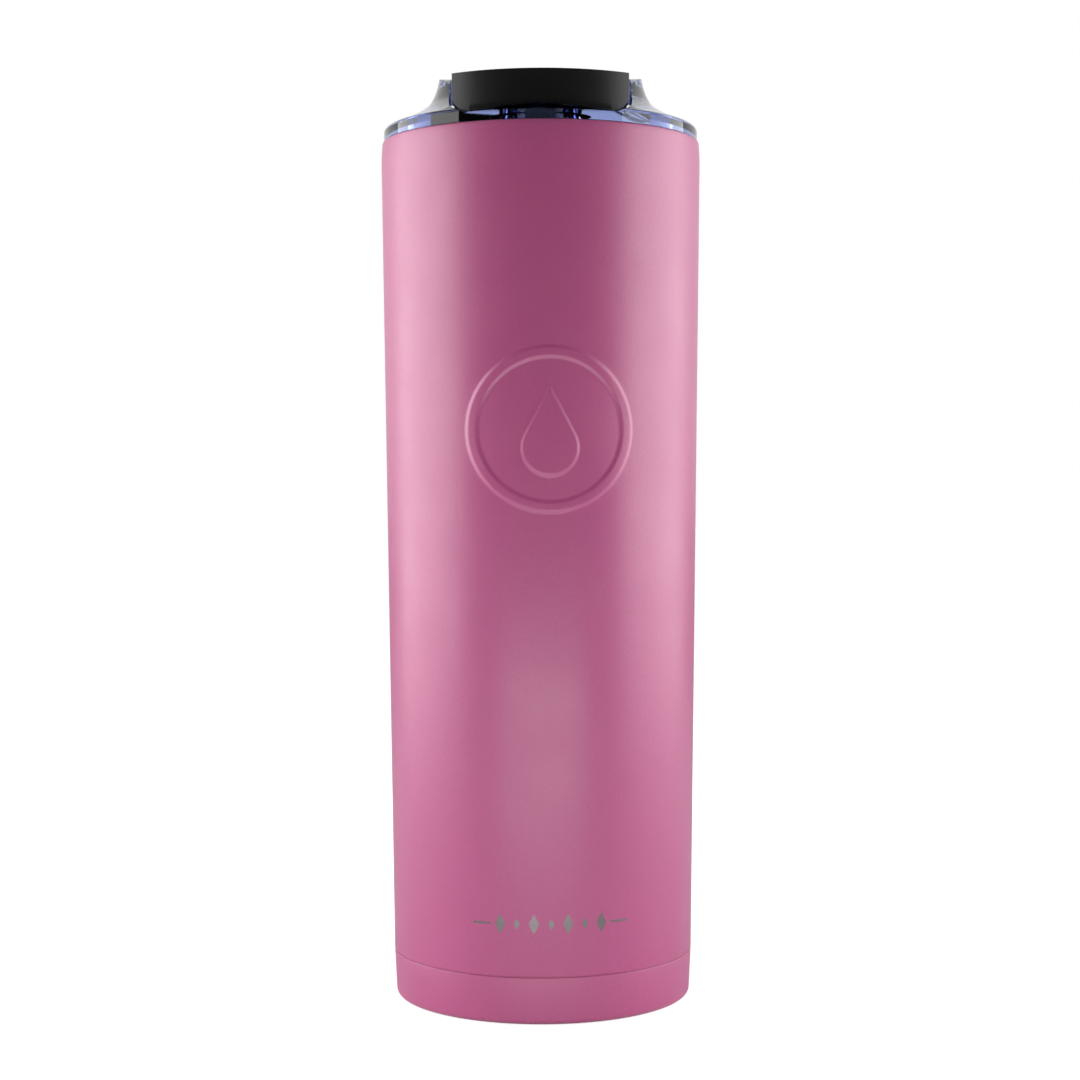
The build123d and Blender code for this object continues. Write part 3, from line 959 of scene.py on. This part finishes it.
    def base(self) -> bpy.types.Object:
        """Turns the base cup, with the ring that it stands on.

        Returns:
            The base, with bare steel inside its standing ring.
        """
        wall, contact = self.shell_wall, self.foot_radius - self.foot_corner
        inner = contact - self.contact_width
        middle = inner - 1.2
        bore = self.shell_radius(self.seam_height) - wall
        lip = self.shell_radius(self.seam_height + self.joggle) - wall
        top = self.seam_height + self.joggle
        section = [
            (0.0, self.recess),
            (14.0, self.recess),
            (14.6, self.recess + 0.25),
            (middle - 4.0, self.recess + 0.25),
            (middle - 3.4, self.recess),
            (middle, self.recess),
            (inner, 0.0),
            (self.foot_radius, 0.0),
            (self.seam_radius, self.seam_height),
            (bore, self.seam_height),
            (lip, top),
            (lip - wall, top),
            (self.foot_radius - wall, self.foot_corner),
            (contact, wall),
            (inner, wall),
            (middle, self.recess + wall + 0.25),
            (0.0, self.recess + wall + 0.25),
        ]
        rounds = (
            ((self.foot_radius, 0.0), self.foot_corner),
            ((self.seam_radius, self.seam_height), 0.2),
            ((inner, 0.0), 0.4),
            ((middle, self.recess), 0.4),
        )
        mesh = turned(section, rounds, steps=240, segments=6)
        for face in mesh.faces:
            centre = face.calc_center_median()
            if centre.z < (self.recess + 0.3) * MM and centre.xy.length < (inner - 0.3) * MM:
                face.material_index = 1
        made = as_object(mesh, "base_skin")
        made.data.materials.append(COAT.material())
        made.data.materials.append(STEEL.material())
        return made

    def mark(self) -> bpy.types.Object:
        """Etched band of small diamonds between two fine lines, low on the front.

        Returns:
            The band as thin steel-coloured patches just proud of the coat.
        """
        centre, pitch, count = 25.5, 4.3, 7
        lift, thickness, turn = 0.012, 0.02, radians(self.emblem.turn)
        mesh = bmesh.new()
        for n in range(count):
            middle = (n - (count - 1) / 2) * pitch
            reach = Vector((1.35, 0.0, 2.6)) if n % 2 == 0 else Vector((0.8, 0.0, 1.5))
            corners = [(middle - reach.x, centre), (middle, centre - reach.z)]
            corners += [(middle + reach.x, centre), (middle, centre + reach.z)]
            outline_face(mesh, corners, Direction.Y)
        for side in (-1, 1):
            near, far = side * (pitch * count / 2 + 0.4), side * 20.2
            corners = [(near, centre - 0.28), (far, centre - 0.28), (far, centre + 0.28), (near, centre + 0.28)]
            outline_face(mesh, corners, Direction.Y)
        long_edges = [e for e in mesh.edges if e.calc_length() > 2.0 * MM]
        bmesh.ops.subdivide_edges(mesh, edges=long_edges, cuts=5, use_grid_fill=True)
        bmesh.ops.triangulate(mesh, faces=mesh.faces)
        grown = bmesh.ops.extrude_face_region(mesh, geom=list(mesh.faces), use_keep_orig=True)
        raised = {g for g in grown["geom"] if isinstance(g, bmesh.types.BMVert)}
        for vert in mesh.verts:
            height = vert.co.z / MM
            radius = self.shell_radius(height) + lift + (thickness if vert in raised else -2 * thickness)
            angle = turn + vert.co.x / MM / self.shell_radius(height)
            vert.co = Vector((radius * sin(angle), -radius * cos(angle), height)) * MM
        tidy(mesh, 0.0005)
        return as_object(mesh, "etched_band")

    def build(self) -> None:
        """Makes the body's pieces and dresses the ones that are carried over."""
        fit(self.shell(), Body.BOTTLE, COAT, "powder_coat", "outer_shell")
        fit(self.base(), Body.BOTTLE, COAT, "powder_coat", "base_cup")
        fit(self.liner(), Body.BOTTLE, STEEL, "steel", "inner_liner")
        fit(self.mark(), Body.BOTTLE, MARK_STEEL, "steel")
        carried = {
            "shell_bottom": STEEL,
            "vacuum_plug": BEAD_GLASS,
            "getter": GETTER_METAL,
            "getter_strap": STEEL,
        }
        for node, finish in carried.items():
            paint(node, finish)


def paint(node: str, finish: Finish) -> None:
    """Gives a carried node its finish.

    Args:
        node: node of the frame.
        finish: finish for its surface.
    """
    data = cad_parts[node].data
    data.materials.clear()
    data.materials.append(finish.material())
    log.info("%s keeps its mesh and gets %s", node, finish.name)


def rib(
    mesh: bmesh.types.BMesh,
    radius: float,
    foot: float,
    pitch: float,
    turns: float,
    depth: float,
    sink: float = 0.2,
) -> None:
    """Winds one thread rib onto a wall, with closed ends that run out.

    Args:
        mesh: mesh that gets the rib.
        radius: radius of the wall, in millimetres.
        foot: height where the rib starts.
        pitch: rise in one turn.
        turns: how many turns it makes.
        depth: how far it stands out, negative inwards.
        sink: how deep its root goes into the wall.
    """
    side = 1 if depth > 0 else -1
    corners = [
        (radius - side * sink, foot - 1.1),
        (radius + depth, foot - 0.5),
        (radius + depth, foot + 0.5),
        (radius - side * sink, foot + 1.1),
    ]
    face = outline_face(mesh, corners, Direction.Y)
    steps = int(72 * turns)
    start = list(face.verts)
    spun = bmesh.ops.spin(
        mesh,
        geom=[face],
        cent=(0.0, 0.0, 0.0),
        axis=(0.0, 0.0, 1.0),
        dvec=(0.0, 0.0, pitch * turns / steps * MM),
        angle=2 * pi * turns,
        steps=steps,
        use_merge=False,
        use_duplicate=False,
    )
    last = [g for g in spun["geom_last"] if isinstance(g, bmesh.types.BMVert)]
    for vert in [*start, *last]:
        flat = vert.co.xy.normalized() * (radius - side * sink) * MM
        vert.co.xy = flat
    bmesh.ops.recalc_face_normals(mesh, faces=mesh.faces)


# ------------------------------------------------------------------------- lid


@dataclass
class Lid:
    """Clear screw lid with two hinge ears, its gasket, pins and washers. Millimetres."""

    flange_radius: float = 41.4
    flange_foot: float = RIM + 0.1
    flange_edge: float = 3.2
    ear_top: float = RIM + 16.9
    ear_radius: float = 26.8
    crown_radius: float = 32.0
    crown_reach: float = 18.0
    deck: float = RIM + 2.5
    channel_half: float = 23.4
    channel_corner: float = 5.5
    wall: float = 2.2
    core_top: float = RIM + 11.0
    skirt_root: float = 37.1
    skirt_inner: float = 34.5
    skirt_foot: float = 208.0
    pad_top: float = RIM + 4.6
    pad_start: float = 2.0
    pad_end: float = 22.0
    spout_offset: float = 24.0
    spout_bore: float = 9.1
    spout_wall: float = 2.0
    spout_top: float = RIM + 7.0
    spout_foot: float = RIM - 7.0
    spout_flare: float = 0.4
    gasket_top: float = RIM - 0.6
    gasket_height: float = 3.8
    groove: float = 0.8
    pin_radius: float = 1.5
    pin_inner: float = 18.0
    pin_outer: float = 27.0
    washer_radius: float = 3.6
    washer_inner: float = 22.25
    washer_outer: float = 23.35
    lug_floor: float = 210.5
    lug_height: float = 2.0
    lug_depth: float = 1.8
    lug_arc: float = 48.0
    stop_arc: float = 4.0
    stop_room: float = 1.5

    def flare(self) -> list[Point]:
        """Outside of the flared shoulder, from the flange's edge up to the ears.

        Returns:
            Points as radius and height.
        """
        spans = (
            ((41.4, 2.6), (41.4, 3.3), (40.9, 3.7), (40.0, 3.95)),
            ((40.0, 3.95), (37.0, 4.9), (32.3, 7.2), (30.0, 9.35)),
            ((30.0, 9.35), (28.6, 10.8), (27.6, 13.2), (27.0, 15.8)),
        )
        points = []
        for first, second, third, fourth in spans:
            for n in range(12):
                t = n / 12
                weights = ((1 - t) ** 3, 3 * t * (1 - t) ** 2, 3 * t * t * (1 - t), t**3)
                pair = zip(weights, (first, second, third, fourth))
                spot = sum((Vector(p) * w for w, p in pair), Vector((0.0, 0.0)))
                points.append((spot.x, RIM + spot.y))
        return points

    def moulding(self) -> bpy.types.Object:
        """Turns the flare and cuts the channel, ears, spout and pin holes.

        Returns:
            The clear moulding.
        """
        section = [
            (0.0, self.flange_foot),
            (self.flange_radius, self.flange_foot),
            *self.flare(),
            (self.ear_radius, self.ear_top),
            (0.0, self.ear_top),
        ]
        made = as_object(turned(section, steps=STEPS), "lid_skin")
        half, over = self.channel_half, 60.0
        channel = prism(
            [(-half, self.deck), (half, self.deck), (half, over + self.deck), (-half, over + self.deck)],
            Direction.Y,
            -over,
            over,
            (((-half, self.deck), self.channel_corner), ((half, self.deck), self.channel_corner)),
        )
        worked(made, channel, Join.CUT)
        worked(made, self.crown(), Join.CUT)
        worked(made, self.ear_hollows(), Join.CUT)
        pad = prism(
            [(-half, self.pad_start), (half, self.pad_start), (half, self.pad_end), (-half, self.pad_end)],
            Direction.Z,
            self.deck - 0.2,
            self.pad_top,
        )
        worked(made, pad, Join.ADD)
        spot = Vector((0.0, -self.spout_offset, 0.0))
        worked(made, drum(self.spout_bore + self.spout_wall, self.spout_foot, self.spout_top, Direction.Z, spot), Join.ADD)
        worked(made, self.skirt(), Join.ADD)
        worked(made, self.spout_bore_tool(), Join.CUT)
        worked(made, drum(self.pin_radius, -over, over, Direction.X, Vector((0.0, 0.0, HINGE)), 48), Join.CUT)
        return eased(made, 0.35, 35.0)

    def crown(self) -> bmesh.types.BMesh:
        """Cutter that rounds the tops of the ears from front to back.

        Returns:
            The closed cutter.
        """
        radius, reach, lines = self.crown_radius, self.crown_reach, 24
        arc = []
        for n in range(lines + 1):
            y = -reach + 2 * reach * n / lines
            arc.append((y, self.ear_top - radius + sqrt(radius * radius - y * y)))
        high = self.ear_top + 20.0
        return prism([*arc, (reach, high), (-reach, high)], Direction.X, -60.0, 60.0)

    def ear_hollows(self) -> bmesh.types.BMesh:
        """Space under each ear, open from below.

        Returns:
            The cutter for both.
        """
        section = [
            (0.0, self.flange_foot - 1.0),
            (self.skirt_inner, self.flange_foot - 1.0),
            (self.skirt_inner, RIM + 4.2),
            (self.ear_radius + self.wall, RIM + 7.6),
            (self.ear_radius, self.core_top),
            (0.0, self.core_top),
        ]
        core = as_object(turned(section, steps=STEPS), "core")
        half, over = self.channel_half + self.wall, 60.0
        keep = prism(
            [(-half, RIM - over), (half, RIM - over), (half, RIM + over), (-half, RIM + over)],
            Direction.Y,
            -over,
            over,
        )
        worked(core, keep, Join.CUT)
        mesh = bmesh.new()
        mesh.from_mesh(core.data)
        spent = core.data
        bpy.data.objects.remove(core)
        bpy.data.meshes.remove(spent)
        return mesh

    def skirt(self) -> bmesh.types.BMesh:
        """Threaded skirt that goes down into the mouth, with the gasket's groove.

        Returns:
            The closed ring.
        """
        low = self.gasket_top - self.gasket_height
        depth = self.skirt_root - self.groove
        section = [
            (self.skirt_inner, self.skirt_foot),
            (self.skirt_root, self.skirt_foot),
            (self.skirt_root, low),
            (depth, low),
            (depth, self.gasket_top),
            (self.skirt_root, self.gasket_top),
            (self.skirt_root, RIM + 1.0),
            (self.skirt_inner, RIM + 1.0),
        ]
        return turned(section, (((self.skirt_root, self.skirt_foot), 0.5),), steps=STEPS)

    def spout_bore_tool(self) -> bmesh.types.BMesh:
        """Cutter for the spout's bore and its flared lip.

        Returns:
            The turned cutter.
        """
        lip = self.spout_bore + self.spout_flare
        section = [
            (0.0, self.spout_foot - 2.0),
            (self.spout_bore, self.spout_foot - 2.0),
            (self.spout_bore, self.spout_top - 1.6),
            (lip, self.spout_top),
            (lip, self.spout_top + 2.0),
            (0.0, self.spout_top + 2.0),
        ]
        mesh = turned(section, steps=96)
        bmesh.ops.translate(mesh, verts=mesh.verts, vec=(0.0, -self.spout_offset * MM, 0.0))
        return mesh

    def thread(self) -> bpy.types.Object:
        """Thread rib outside the skirt and the bayonet lugs inside it.

        Returns:
            The clear ribs and lugs.
        """
        mesh = bmesh.new()
        rib(mesh, self.skirt_root, 212.0, 5.0, 1.2, 1.0)
        start = self.skirt_inner - self.lug_depth
        for n in range(3):
            self.arc(mesh, start, self.lug_arc, 120.0 * n, self.lug_height)
            centre = 120.0 * n - (self.lug_arc + self.stop_arc) / 2 - self.stop_room
            self.arc(mesh, start, self.stop_arc, centre, 2 * self.lug_height + 0.3)
        bmesh.ops.recalc_face_normals(mesh, faces=mesh.faces)
        return as_object(mesh, "lid_thread")

    def arc(self, mesh: bmesh.types.BMesh, inner: float, span: float, centre: float, height: float) -> None:
        """Adds one arc of a lug to a mesh.

        Args:
            mesh: mesh that gets it.
            inner: radius of its inner face.
            span: its length, in degrees.
            centre: direction of its middle, in degrees.
            height: its height.
        """
        outer = self.skirt_inner + 0.4
        corners = [(inner, self.lug_floor), (outer, self.lug_floor)]
        corners += [(outer, self.lug_floor + height), (inner, self.lug_floor + height)]
        face = outline_face(mesh, corners, Direction.Y)
        turn = Matrix.Rotation(radians(centre - span / 2), 3, "Z")
        bmesh.ops.rotate(mesh, verts=face.verts, cent=(0.0, 0.0, 0.0), matrix=turn)
        bmesh.ops.spin(
            mesh,
            geom=[face],
            cent=(0.0, 0.0, 0.0),
            axis=(0.0, 0.0, 1.0),
            dvec=(0.0, 0.0, 0.0),
            angle=radians(span),
            steps=max(4, int(span / 3)),
            use_merge=False,
            use_duplicate=False,
        )

    def gasket(self) -> bpy.types.Object:
        """Silicone ring with two wiping lips.

        Returns:
            The gasket.
        """
        inner, outer = self.skirt_root - self.groove + 0.1, 38.3
        low, high = self.gasket_top - self.gasket_height + 0.1, self.gasket_top - 0.1
        waist = outer - 0.7
        section = [
            (inner, low),
            (outer - 0.5, low),
            (outer, low + 0.7),
            (waist, low + 1.5),
            (waist, low + 2.1),
            (outer, high - 0.8),
            (outer - 0.5, high),
            (inner, high),
        ]
        rounds = (((outer, low + 0.7), 0.25), ((outer, high - 0.8), 0.25))
        return as_object(turned(section, rounds, segments=3), "gasket_skin")

    def hinge(self) -> None:
        """Makes the two pins and their washers."""
        middle = Vector((0.0, 0.0, HINGE)) * MM
        for name, side in (("left", -1), ("right", 1)):
            ends = sorted((side * self.pin_inner, side * self.pin_outer))
            pin = turned(
                [(0.0, ends[0]), (self.pin_radius, ends[0]), (self.pin_radius, ends[1]), (0.0, ends[1])],
                (((self.pin_radius, ends[0]), 0.25), ((self.pin_radius, ends[1]), 0.25)),
                steps=48,
            )
            lay(pin, Direction.X)
            bmesh.ops.translate(pin, verts=pin.verts, vec=middle)
            fit(as_object(pin, f"pin_{name}"), Body.LID, PIN_STEEL, "pin_steel", f"hinge_pin_{name}")
            faces = sorted((side * self.washer_inner, side * self.washer_outer))
            bore = self.pin_radius + 0.05
            ring = [(bore, faces[0]), (self.washer_radius, faces[0])]
            ring += [(self.washer_radius, faces[1]), (bore, faces[1])]
            washer = turned(ring, tuple((corner, 0.15) for corner in ring), steps=64, segments=3)
            lay(washer, Direction.X)
            bmesh.ops.translate(washer, verts=washer.verts, vec=middle)
            fit(as_object(washer, f"washer_{name}"), Body.LID, NYLON, "nylon", f"hinge_washer_{name}")

    def build(self) -> None:
        """Makes the lid's pieces."""
        fit(self.moulding(), Body.LID, CLEAR, "clear_plastic", "lid_body")
        fit(self.thread(), Body.LID, CLEAR, "clear_plastic")
        fit(self.gasket(), Body.SEAL, GASKET, "silicone", "lid_gasket")
        self.hinge()


# ------------------------------------------------------------------------- cap


@dataclass
class FlipCap:
    """Black flip cap with its finger lip, carrier plate and stopper. Millimetres."""

    half: float = 22.2
    nose: float = 38.5
    foot: float = RIM + 3.2
    front_top: float = RIM + 13.0
    land: float = 7.2
    slope: float = 10.2
    corner: float = 4.5
    wall: float = 2.0
    heel_radius: float = 9.2
    heel_angle: float = 20.0
    lip: float = 0.7
    lip_height: float = 2.0
    arch_radius: float = 66.0
    arch: float = 1.3
    knuckle: float = 4.0
    knuckle_inner: float = 17.0
    bore: float = 1.55
    carrier: float = RIM + 9.2
    carrier_wall: float = 1.5
    carrier_rear: float = 6.5
    spout_offset: float = 24.0
    stem: float = 4.0
    stem_length: float = 6.0

    def side(self, foot: float, inset: float) -> list[Point]:
        """Side view of the cap or of its hollow: sloping top, round heel and its flat.

        Args:
            foot: height of its lower face.
            inset: how far it is pulled in.

        Returns:
            Corners as Y and height.
        """
        heel, slope = radians(self.heel_angle), radians(self.slope)
        radius = self.heel_radius - inset
        land = self.land - self.nose
        rise = self.front_top - land * tan(slope) - HINGE - inset / cos(slope)
        corner = (radius - rise * sin(heel)) / (cos(heel) + tan(slope) * sin(heel))
        nose = -self.nose - self.wall
        arc = []
        for n in range(25):
            angle = radians(-90.0 + n / 24 * (90.0 + self.heel_angle))
            arc.append((radius * cos(angle), HINGE + radius * sin(angle)))
        bend = (land + inset * tan(slope / 2), self.front_top - inset)
        top = [(corner, HINGE + rise + corner * tan(slope)), bend, (nose, self.front_top - inset)]
        return [*arc, *top, (nose, foot), (0.0, foot)]

    def block(self, foot: float, inset: float, corner: float, name: str) -> bpy.types.Object:
        """Makes the cap's outer form, or its hollow.

        Args:
            foot: height of its lower face.
            inset: how far it is pulled in from the outer form.
            corner: rounding of its lower long edges.
            name: name of the object.

        Returns:
            The closed form.
        """
        half, over = self.half - inset, 60.0
        made = as_object(prism(self.side(foot, inset), Direction.X, -half, half), name)
        plan = drum(self.nose - inset, foot - 2.0, foot + over, Direction.Z, Vector((0.0, 0.0, 0.0)), 256)
        worked(made, plan, Join.KEEP)
        front = prism(
            [(-half, foot), (half, foot), (half, foot + over), (-half, foot + over)],
            Direction.Y,
            -over,
            over,
            (((-half, foot), corner), ((half, foot), corner)),
            12,
        )
        worked(made, front, Join.KEEP)
        return made

    def shell(self) -> bpy.types.Object:
        """Hollows the cap, opens it below and adds the finger lip and the knuckles.

        Returns:
            The cap.
        """
        made = self.block(self.foot, 0.0, self.corner, "cap_skin")
        worked(made, self.finger_lip(), Join.ADD)
        hollow = self.block(self.foot + self.wall, self.wall, self.corner - self.wall, "hollow")
        mesh = bmesh.new()
        mesh.from_mesh(hollow.data)
        bpy.data.objects.remove(hollow)
        worked(made, mesh, Join.CUT)
        inner, over = self.half - self.corner, 60.0
        opening = as_object(
            drum(self.nose - self.wall, self.foot - 1.0, self.foot + 2 * self.wall, Direction.Z, Vector(), 192),
            "opening",
        )
        strip = prism(
            [(-inner, -over), (inner, -over), (inner, 0.0), (-inner, 0.0)],
            Direction.Z,
            self.foot - 2.0,
            self.foot + 3 * self.wall,
        )
        worked(opening, strip, Join.KEEP)
        mesh = bmesh.new()
        mesh.from_mesh(opening.data)
        bpy.data.objects.remove(opening)
        worked(made, mesh, Join.CUT)
        spot = Vector((0.0, 0.0, self.foot + self.arch - self.arch_radius))
        arch = drum(self.arch_radius, -self.nose - 3.0, -self.nose + 2 * self.wall, Direction.Y, spot, 256)
        worked(made, arch, Join.CUT)
        for side in (-1, 1):
            ends = sorted((side * self.knuckle_inner, side * (self.half - self.wall / 2)))
            knuckle = drum(self.knuckle, ends[0], ends[1], Direction.X, Vector((0.0, 0.0, HINGE)), 48)
            worked(made, knuckle, Join.ADD)
        worked(made, drum(self.bore, -30.0, 30.0, Direction.X, Vector((0.0, 0.0, HINGE)), 48), Join.CUT)
        return eased(made, 0.5, 35.0, 4)

    def finger_lip(self) -> bmesh.types.BMesh:
        """Small lip along the lower front edge, where a finger lifts the cap.

        Returns:
            The closed lip.
        """
        back = self.nose - self.wall / 2
        section = [
            (back, self.foot),
            (self.nose + self.lip, self.foot),
            (self.nose + self.lip, self.foot + self.lip / 2),
            (self.nose - 0.05, self.foot + self.lip_height),
            (back, self.foot + self.lip_height),
        ]
        ring = as_object(turned(section, steps=256), "ring")
        inner = self.half - self.corner
        front = prism(
            [(-inner, -60.0), (inner, -60.0), (inner, 0.0), (-inner, 0.0)],
            Direction.Z,
            self.foot - 1.0,
            self.foot + 4.0,
        )
        worked(ring, front, Join.KEEP)
        mesh = bmesh.new()
        mesh.from_mesh(ring.data)
        bpy.data.objects.remove(ring)
        return mesh

    def stopper(self) -> bpy.types.Object:
        """Turns the soft plug that closes the spout.

        Returns:
            The stopper, moved over the spout.
        """
        under = self.carrier - 1.8
        section = [
            (0.0, RIM + 0.5),
            (6.2, RIM + 0.5),
            (7.3, RIM + 3.0),
            (8.98, RIM + 6.2),
            (8.98, under),
            (10.0, under),
            (10.0, self.carrier),
            (self.stem, self.carrier),
            (self.stem, self.carrier - self.stem_length),
            (0.0, self.carrier - self.stem_length),
        ]
        rounds = (
            ((6.2, RIM + 0.5), 0.8),
            ((7.3, RIM + 3.0), 0.6),
            ((8.98, RIM + 6.2), 0.4),
            ((10.0, under), 0.4),
            ((10.0, self.carrier), 0.3),
        )
        mesh = turned(section, rounds, steps=96)
        bmesh.ops.translate(mesh, verts=mesh.verts, vec=(0.0, -self.spout_offset * MM, 0.0))
        return as_object(mesh, "stopper_skin")

    def build(self) -> None:
        """Makes the cap's pieces."""
        fit(self.shell(), Body.CAP, BLACK, "black_plastic", "flip_cap")
        carrier = eased(copy_of("cap_carrier", "carrier_skin"), 0.2, 35.0, 2)
        fit(carrier, Body.CAP, BLACK, "black_plastic", "cap_carrier")
        fit(self.stopper(), Body.CAP, STOPPER, "stopper_silicone", "spout_stopper")


@dataclass
class Mixer:
    """Mixing grid that twists into the lid's skirt."""

    edge: float = 0.25

    def build(self) -> None:
        """Copies the collar's and the cage's meshes and rounds their edges."""
        for node in ("grid_collar", "mixing_grid"):
            piece = eased(copy_of(node, f"{node}_skin"), self.edge, 40.0, 2)
            fit(piece, Body.MIXER, GRID, "grid_plastic", node)


# ---------------------------------------------------------------------- studio


@dataclass
class Studio:
    """Floor, backdrop light, soft lamps and the camera. Metres."""

    eye: tuple[float, float, float] = (-0.00045, -0.56534, 0.13493)
    pitch: float = 0.0259
    roll: float = -0.003
    lens: float = 70.72

    def camera(self) -> None:
        """Places the camera in front of the bottle."""
        data = bpy.data.cameras.new("camera")
        data.sensor_width = 36.0
        data.lens = self.lens
        data.clip_end = 50.0
        made = bpy.data.objects.new("camera", data)
        turn = Matrix.Rotation(pi / 2 - self.pitch, 4, "X") @ Matrix.Rotation(self.roll, 4, "Z")
        made.matrix_world = Matrix.Translation(self.eye) @ turn
        bpy.context.scene.collection.objects.link(made)
        bpy.context.scene.camera = made

    def world(self) -> None:
        """White for the camera and through clear pieces, a plain grey level for the rest."""
        world = bpy.data.worlds.new("studio")
        world.use_nodes = True
        world.node_tree.nodes.clear()
        nodes = Nodes(world.node_tree)
        path = nodes.add("ShaderNodeLightPath")
        seen = nodes.math("MAXIMUM", path.outputs["Is Camera Ray"], path.outputs["Is Transmission Ray"])
        where = nodes.add("ShaderNodeTexCoord").outputs["Generated"]
        depth = nodes.add("ShaderNodeSeparateXYZ", Vector=where).outputs["Y"]
        behind = nodes.spread(depth, 0.1, 0.7, 0.02, 0.9)
        glossy = nodes.blend(behind, (0.0, 0.0, 0.0, 1.0), (1.0, 1.0, 1.0, 1.0))
        ambient = nodes.add("ShaderNodeBackground", Color=(1.0, 1.0, 1.0, 1.0), Strength=0.06)
        mirrored = nodes.add("ShaderNodeBackground", Color=glossy, Strength=1.0)
        white = nodes.add("ShaderNodeBackground", Color=(1.0, 1.0, 1.0, 1.0), Strength=1.0)
        plain = nodes.add("ShaderNodeMixShader", Fac=path.outputs["Is Glossy Ray"])
        nodes.feed(plain.inputs[1], ambient.outputs[0])
        nodes.feed(plain.inputs[2], mirrored.outputs[0])
        last = nodes.add("ShaderNodeMixShader", Fac=seen)
        nodes.feed(last.inputs[1], plain.outputs[0])
        nodes.feed(last.inputs[2], white.outputs[0])
        out = nodes.add("ShaderNodeOutputWorld")
        nodes.feed(out.inputs["Surface"], last.outputs[0])
        bpy.context.scene.world = world

    def floor(self) -> None:
        """Lays the white floor, bright to the eye but still taking the bottle's shadow, with its glow painted dimmer
        near the bottle as painted shade.
        """
        mesh = bmesh.new()
        bmesh.ops.create_grid(mesh, x_segments=1, y_segments=1, size=6.0)
        bmesh.ops.translate(mesh, verts=mesh.verts, vec=(0.0, 0.0, -0.0001))
        made = as_object(mesh, "floor")
        paper = bpy.data.materials.new("white_paper")
        paper.use_nodes = True
        paper.node_tree.nodes.clear()
        nodes = Nodes(paper.node_tree)
        path = nodes.add("ShaderNodeLightPath")
        seen = nodes.math("MAXIMUM", path.outputs["Is Camera Ray"], path.outputs["Is Transmission Ray"])
        soft = nodes.add("ShaderNodeBsdfDiffuse", Color=(0.82, 0.82, 0.82, 1.0))
        where = nodes.add("ShaderNodeTexCoord").outputs["Object"]
        reach = nodes.add("ShaderNodeVectorMath", {"operation": "LENGTH"})
        nodes.feed(reach.inputs[0], where)
        # painted shade: the floor's glow is painted dimmer near the bottle, 0.78 beside it rising to 1.0 further out
        level = nodes.spread(reach.outputs["Value"], 0.05, 0.35, 0.78, 1.0)
        strength = nodes.math("MULTIPLY", seen, level)
        glow = nodes.add("ShaderNodeEmission", Color=(1.0, 1.0, 1.0, 1.0), Strength=strength)
        total = nodes.add("ShaderNodeAddShader")
        nodes.feed(total.inputs[0], soft.outputs[0])
        nodes.feed(total.inputs[1], glow.outputs[0])
        out = nodes.add("ShaderNodeOutputMaterial")
        nodes.feed(out.inputs["Surface"], total.outputs[0])
        made.data.materials.append(paper)

    def lamp(self, name: str, place: Vector, aim: Vector, size: Point, power: float) -> None:
        """Hangs one soft rectangular lamp.

        Args:
            name: name of the lamp.
            place: where it hangs.
            aim: point that it faces.
            size: its width and height.
            power: its power, in watts.
        """
        data = bpy.data.lights.new(name, "AREA")
        data.shape = "RECTANGLE"
        data.size, data.size_y = size
        data.energy = power
        made = bpy.data.objects.new(name, data)
        made.location = place
        made.visible_camera = False
        made.rotation_euler = (aim - place).to_track_quat("-Z", "Y").to_euler()
        bpy.context.scene.collection.objects.link(made)

    def build(self) -> None:
        """Sets up the studio."""
        bpy.context.scene.view_settings.view_transform = "Standard"
        self.camera()
        self.world()
        self.floor()
        middle = Vector((0.0, 0.0, 0.13))
        self.lamp("left_box", Vector((-0.60, 0.02, 0.16)), middle, (0.76, 0.66), 4.9)
        self.lamp("right_box", Vector((0.60, 0.02, 0.16)), middle, (0.76, 0.66), 4.5)
        self.lamp("low_fill", Vector((0.0, -0.27, 0.016)), Vector((0.0, 0.0, 0.02)), (0.30, 0.03), 0.16)
        self.lamp("top_fill", Vector((0.0, 0.10, 0.95)), middle, (0.6, 0.6), 0.6)


def main() -> None:
    """Builds the studio and each sub-assembly in order."""
    logging.basicConfig(level=logging.INFO, format="%(message)s")
    Studio().build()
    SteelBody().build()
    Lid().build()
    FlipCap().build()
    Mixer().build()


if __name__ == "__main__":
    main()
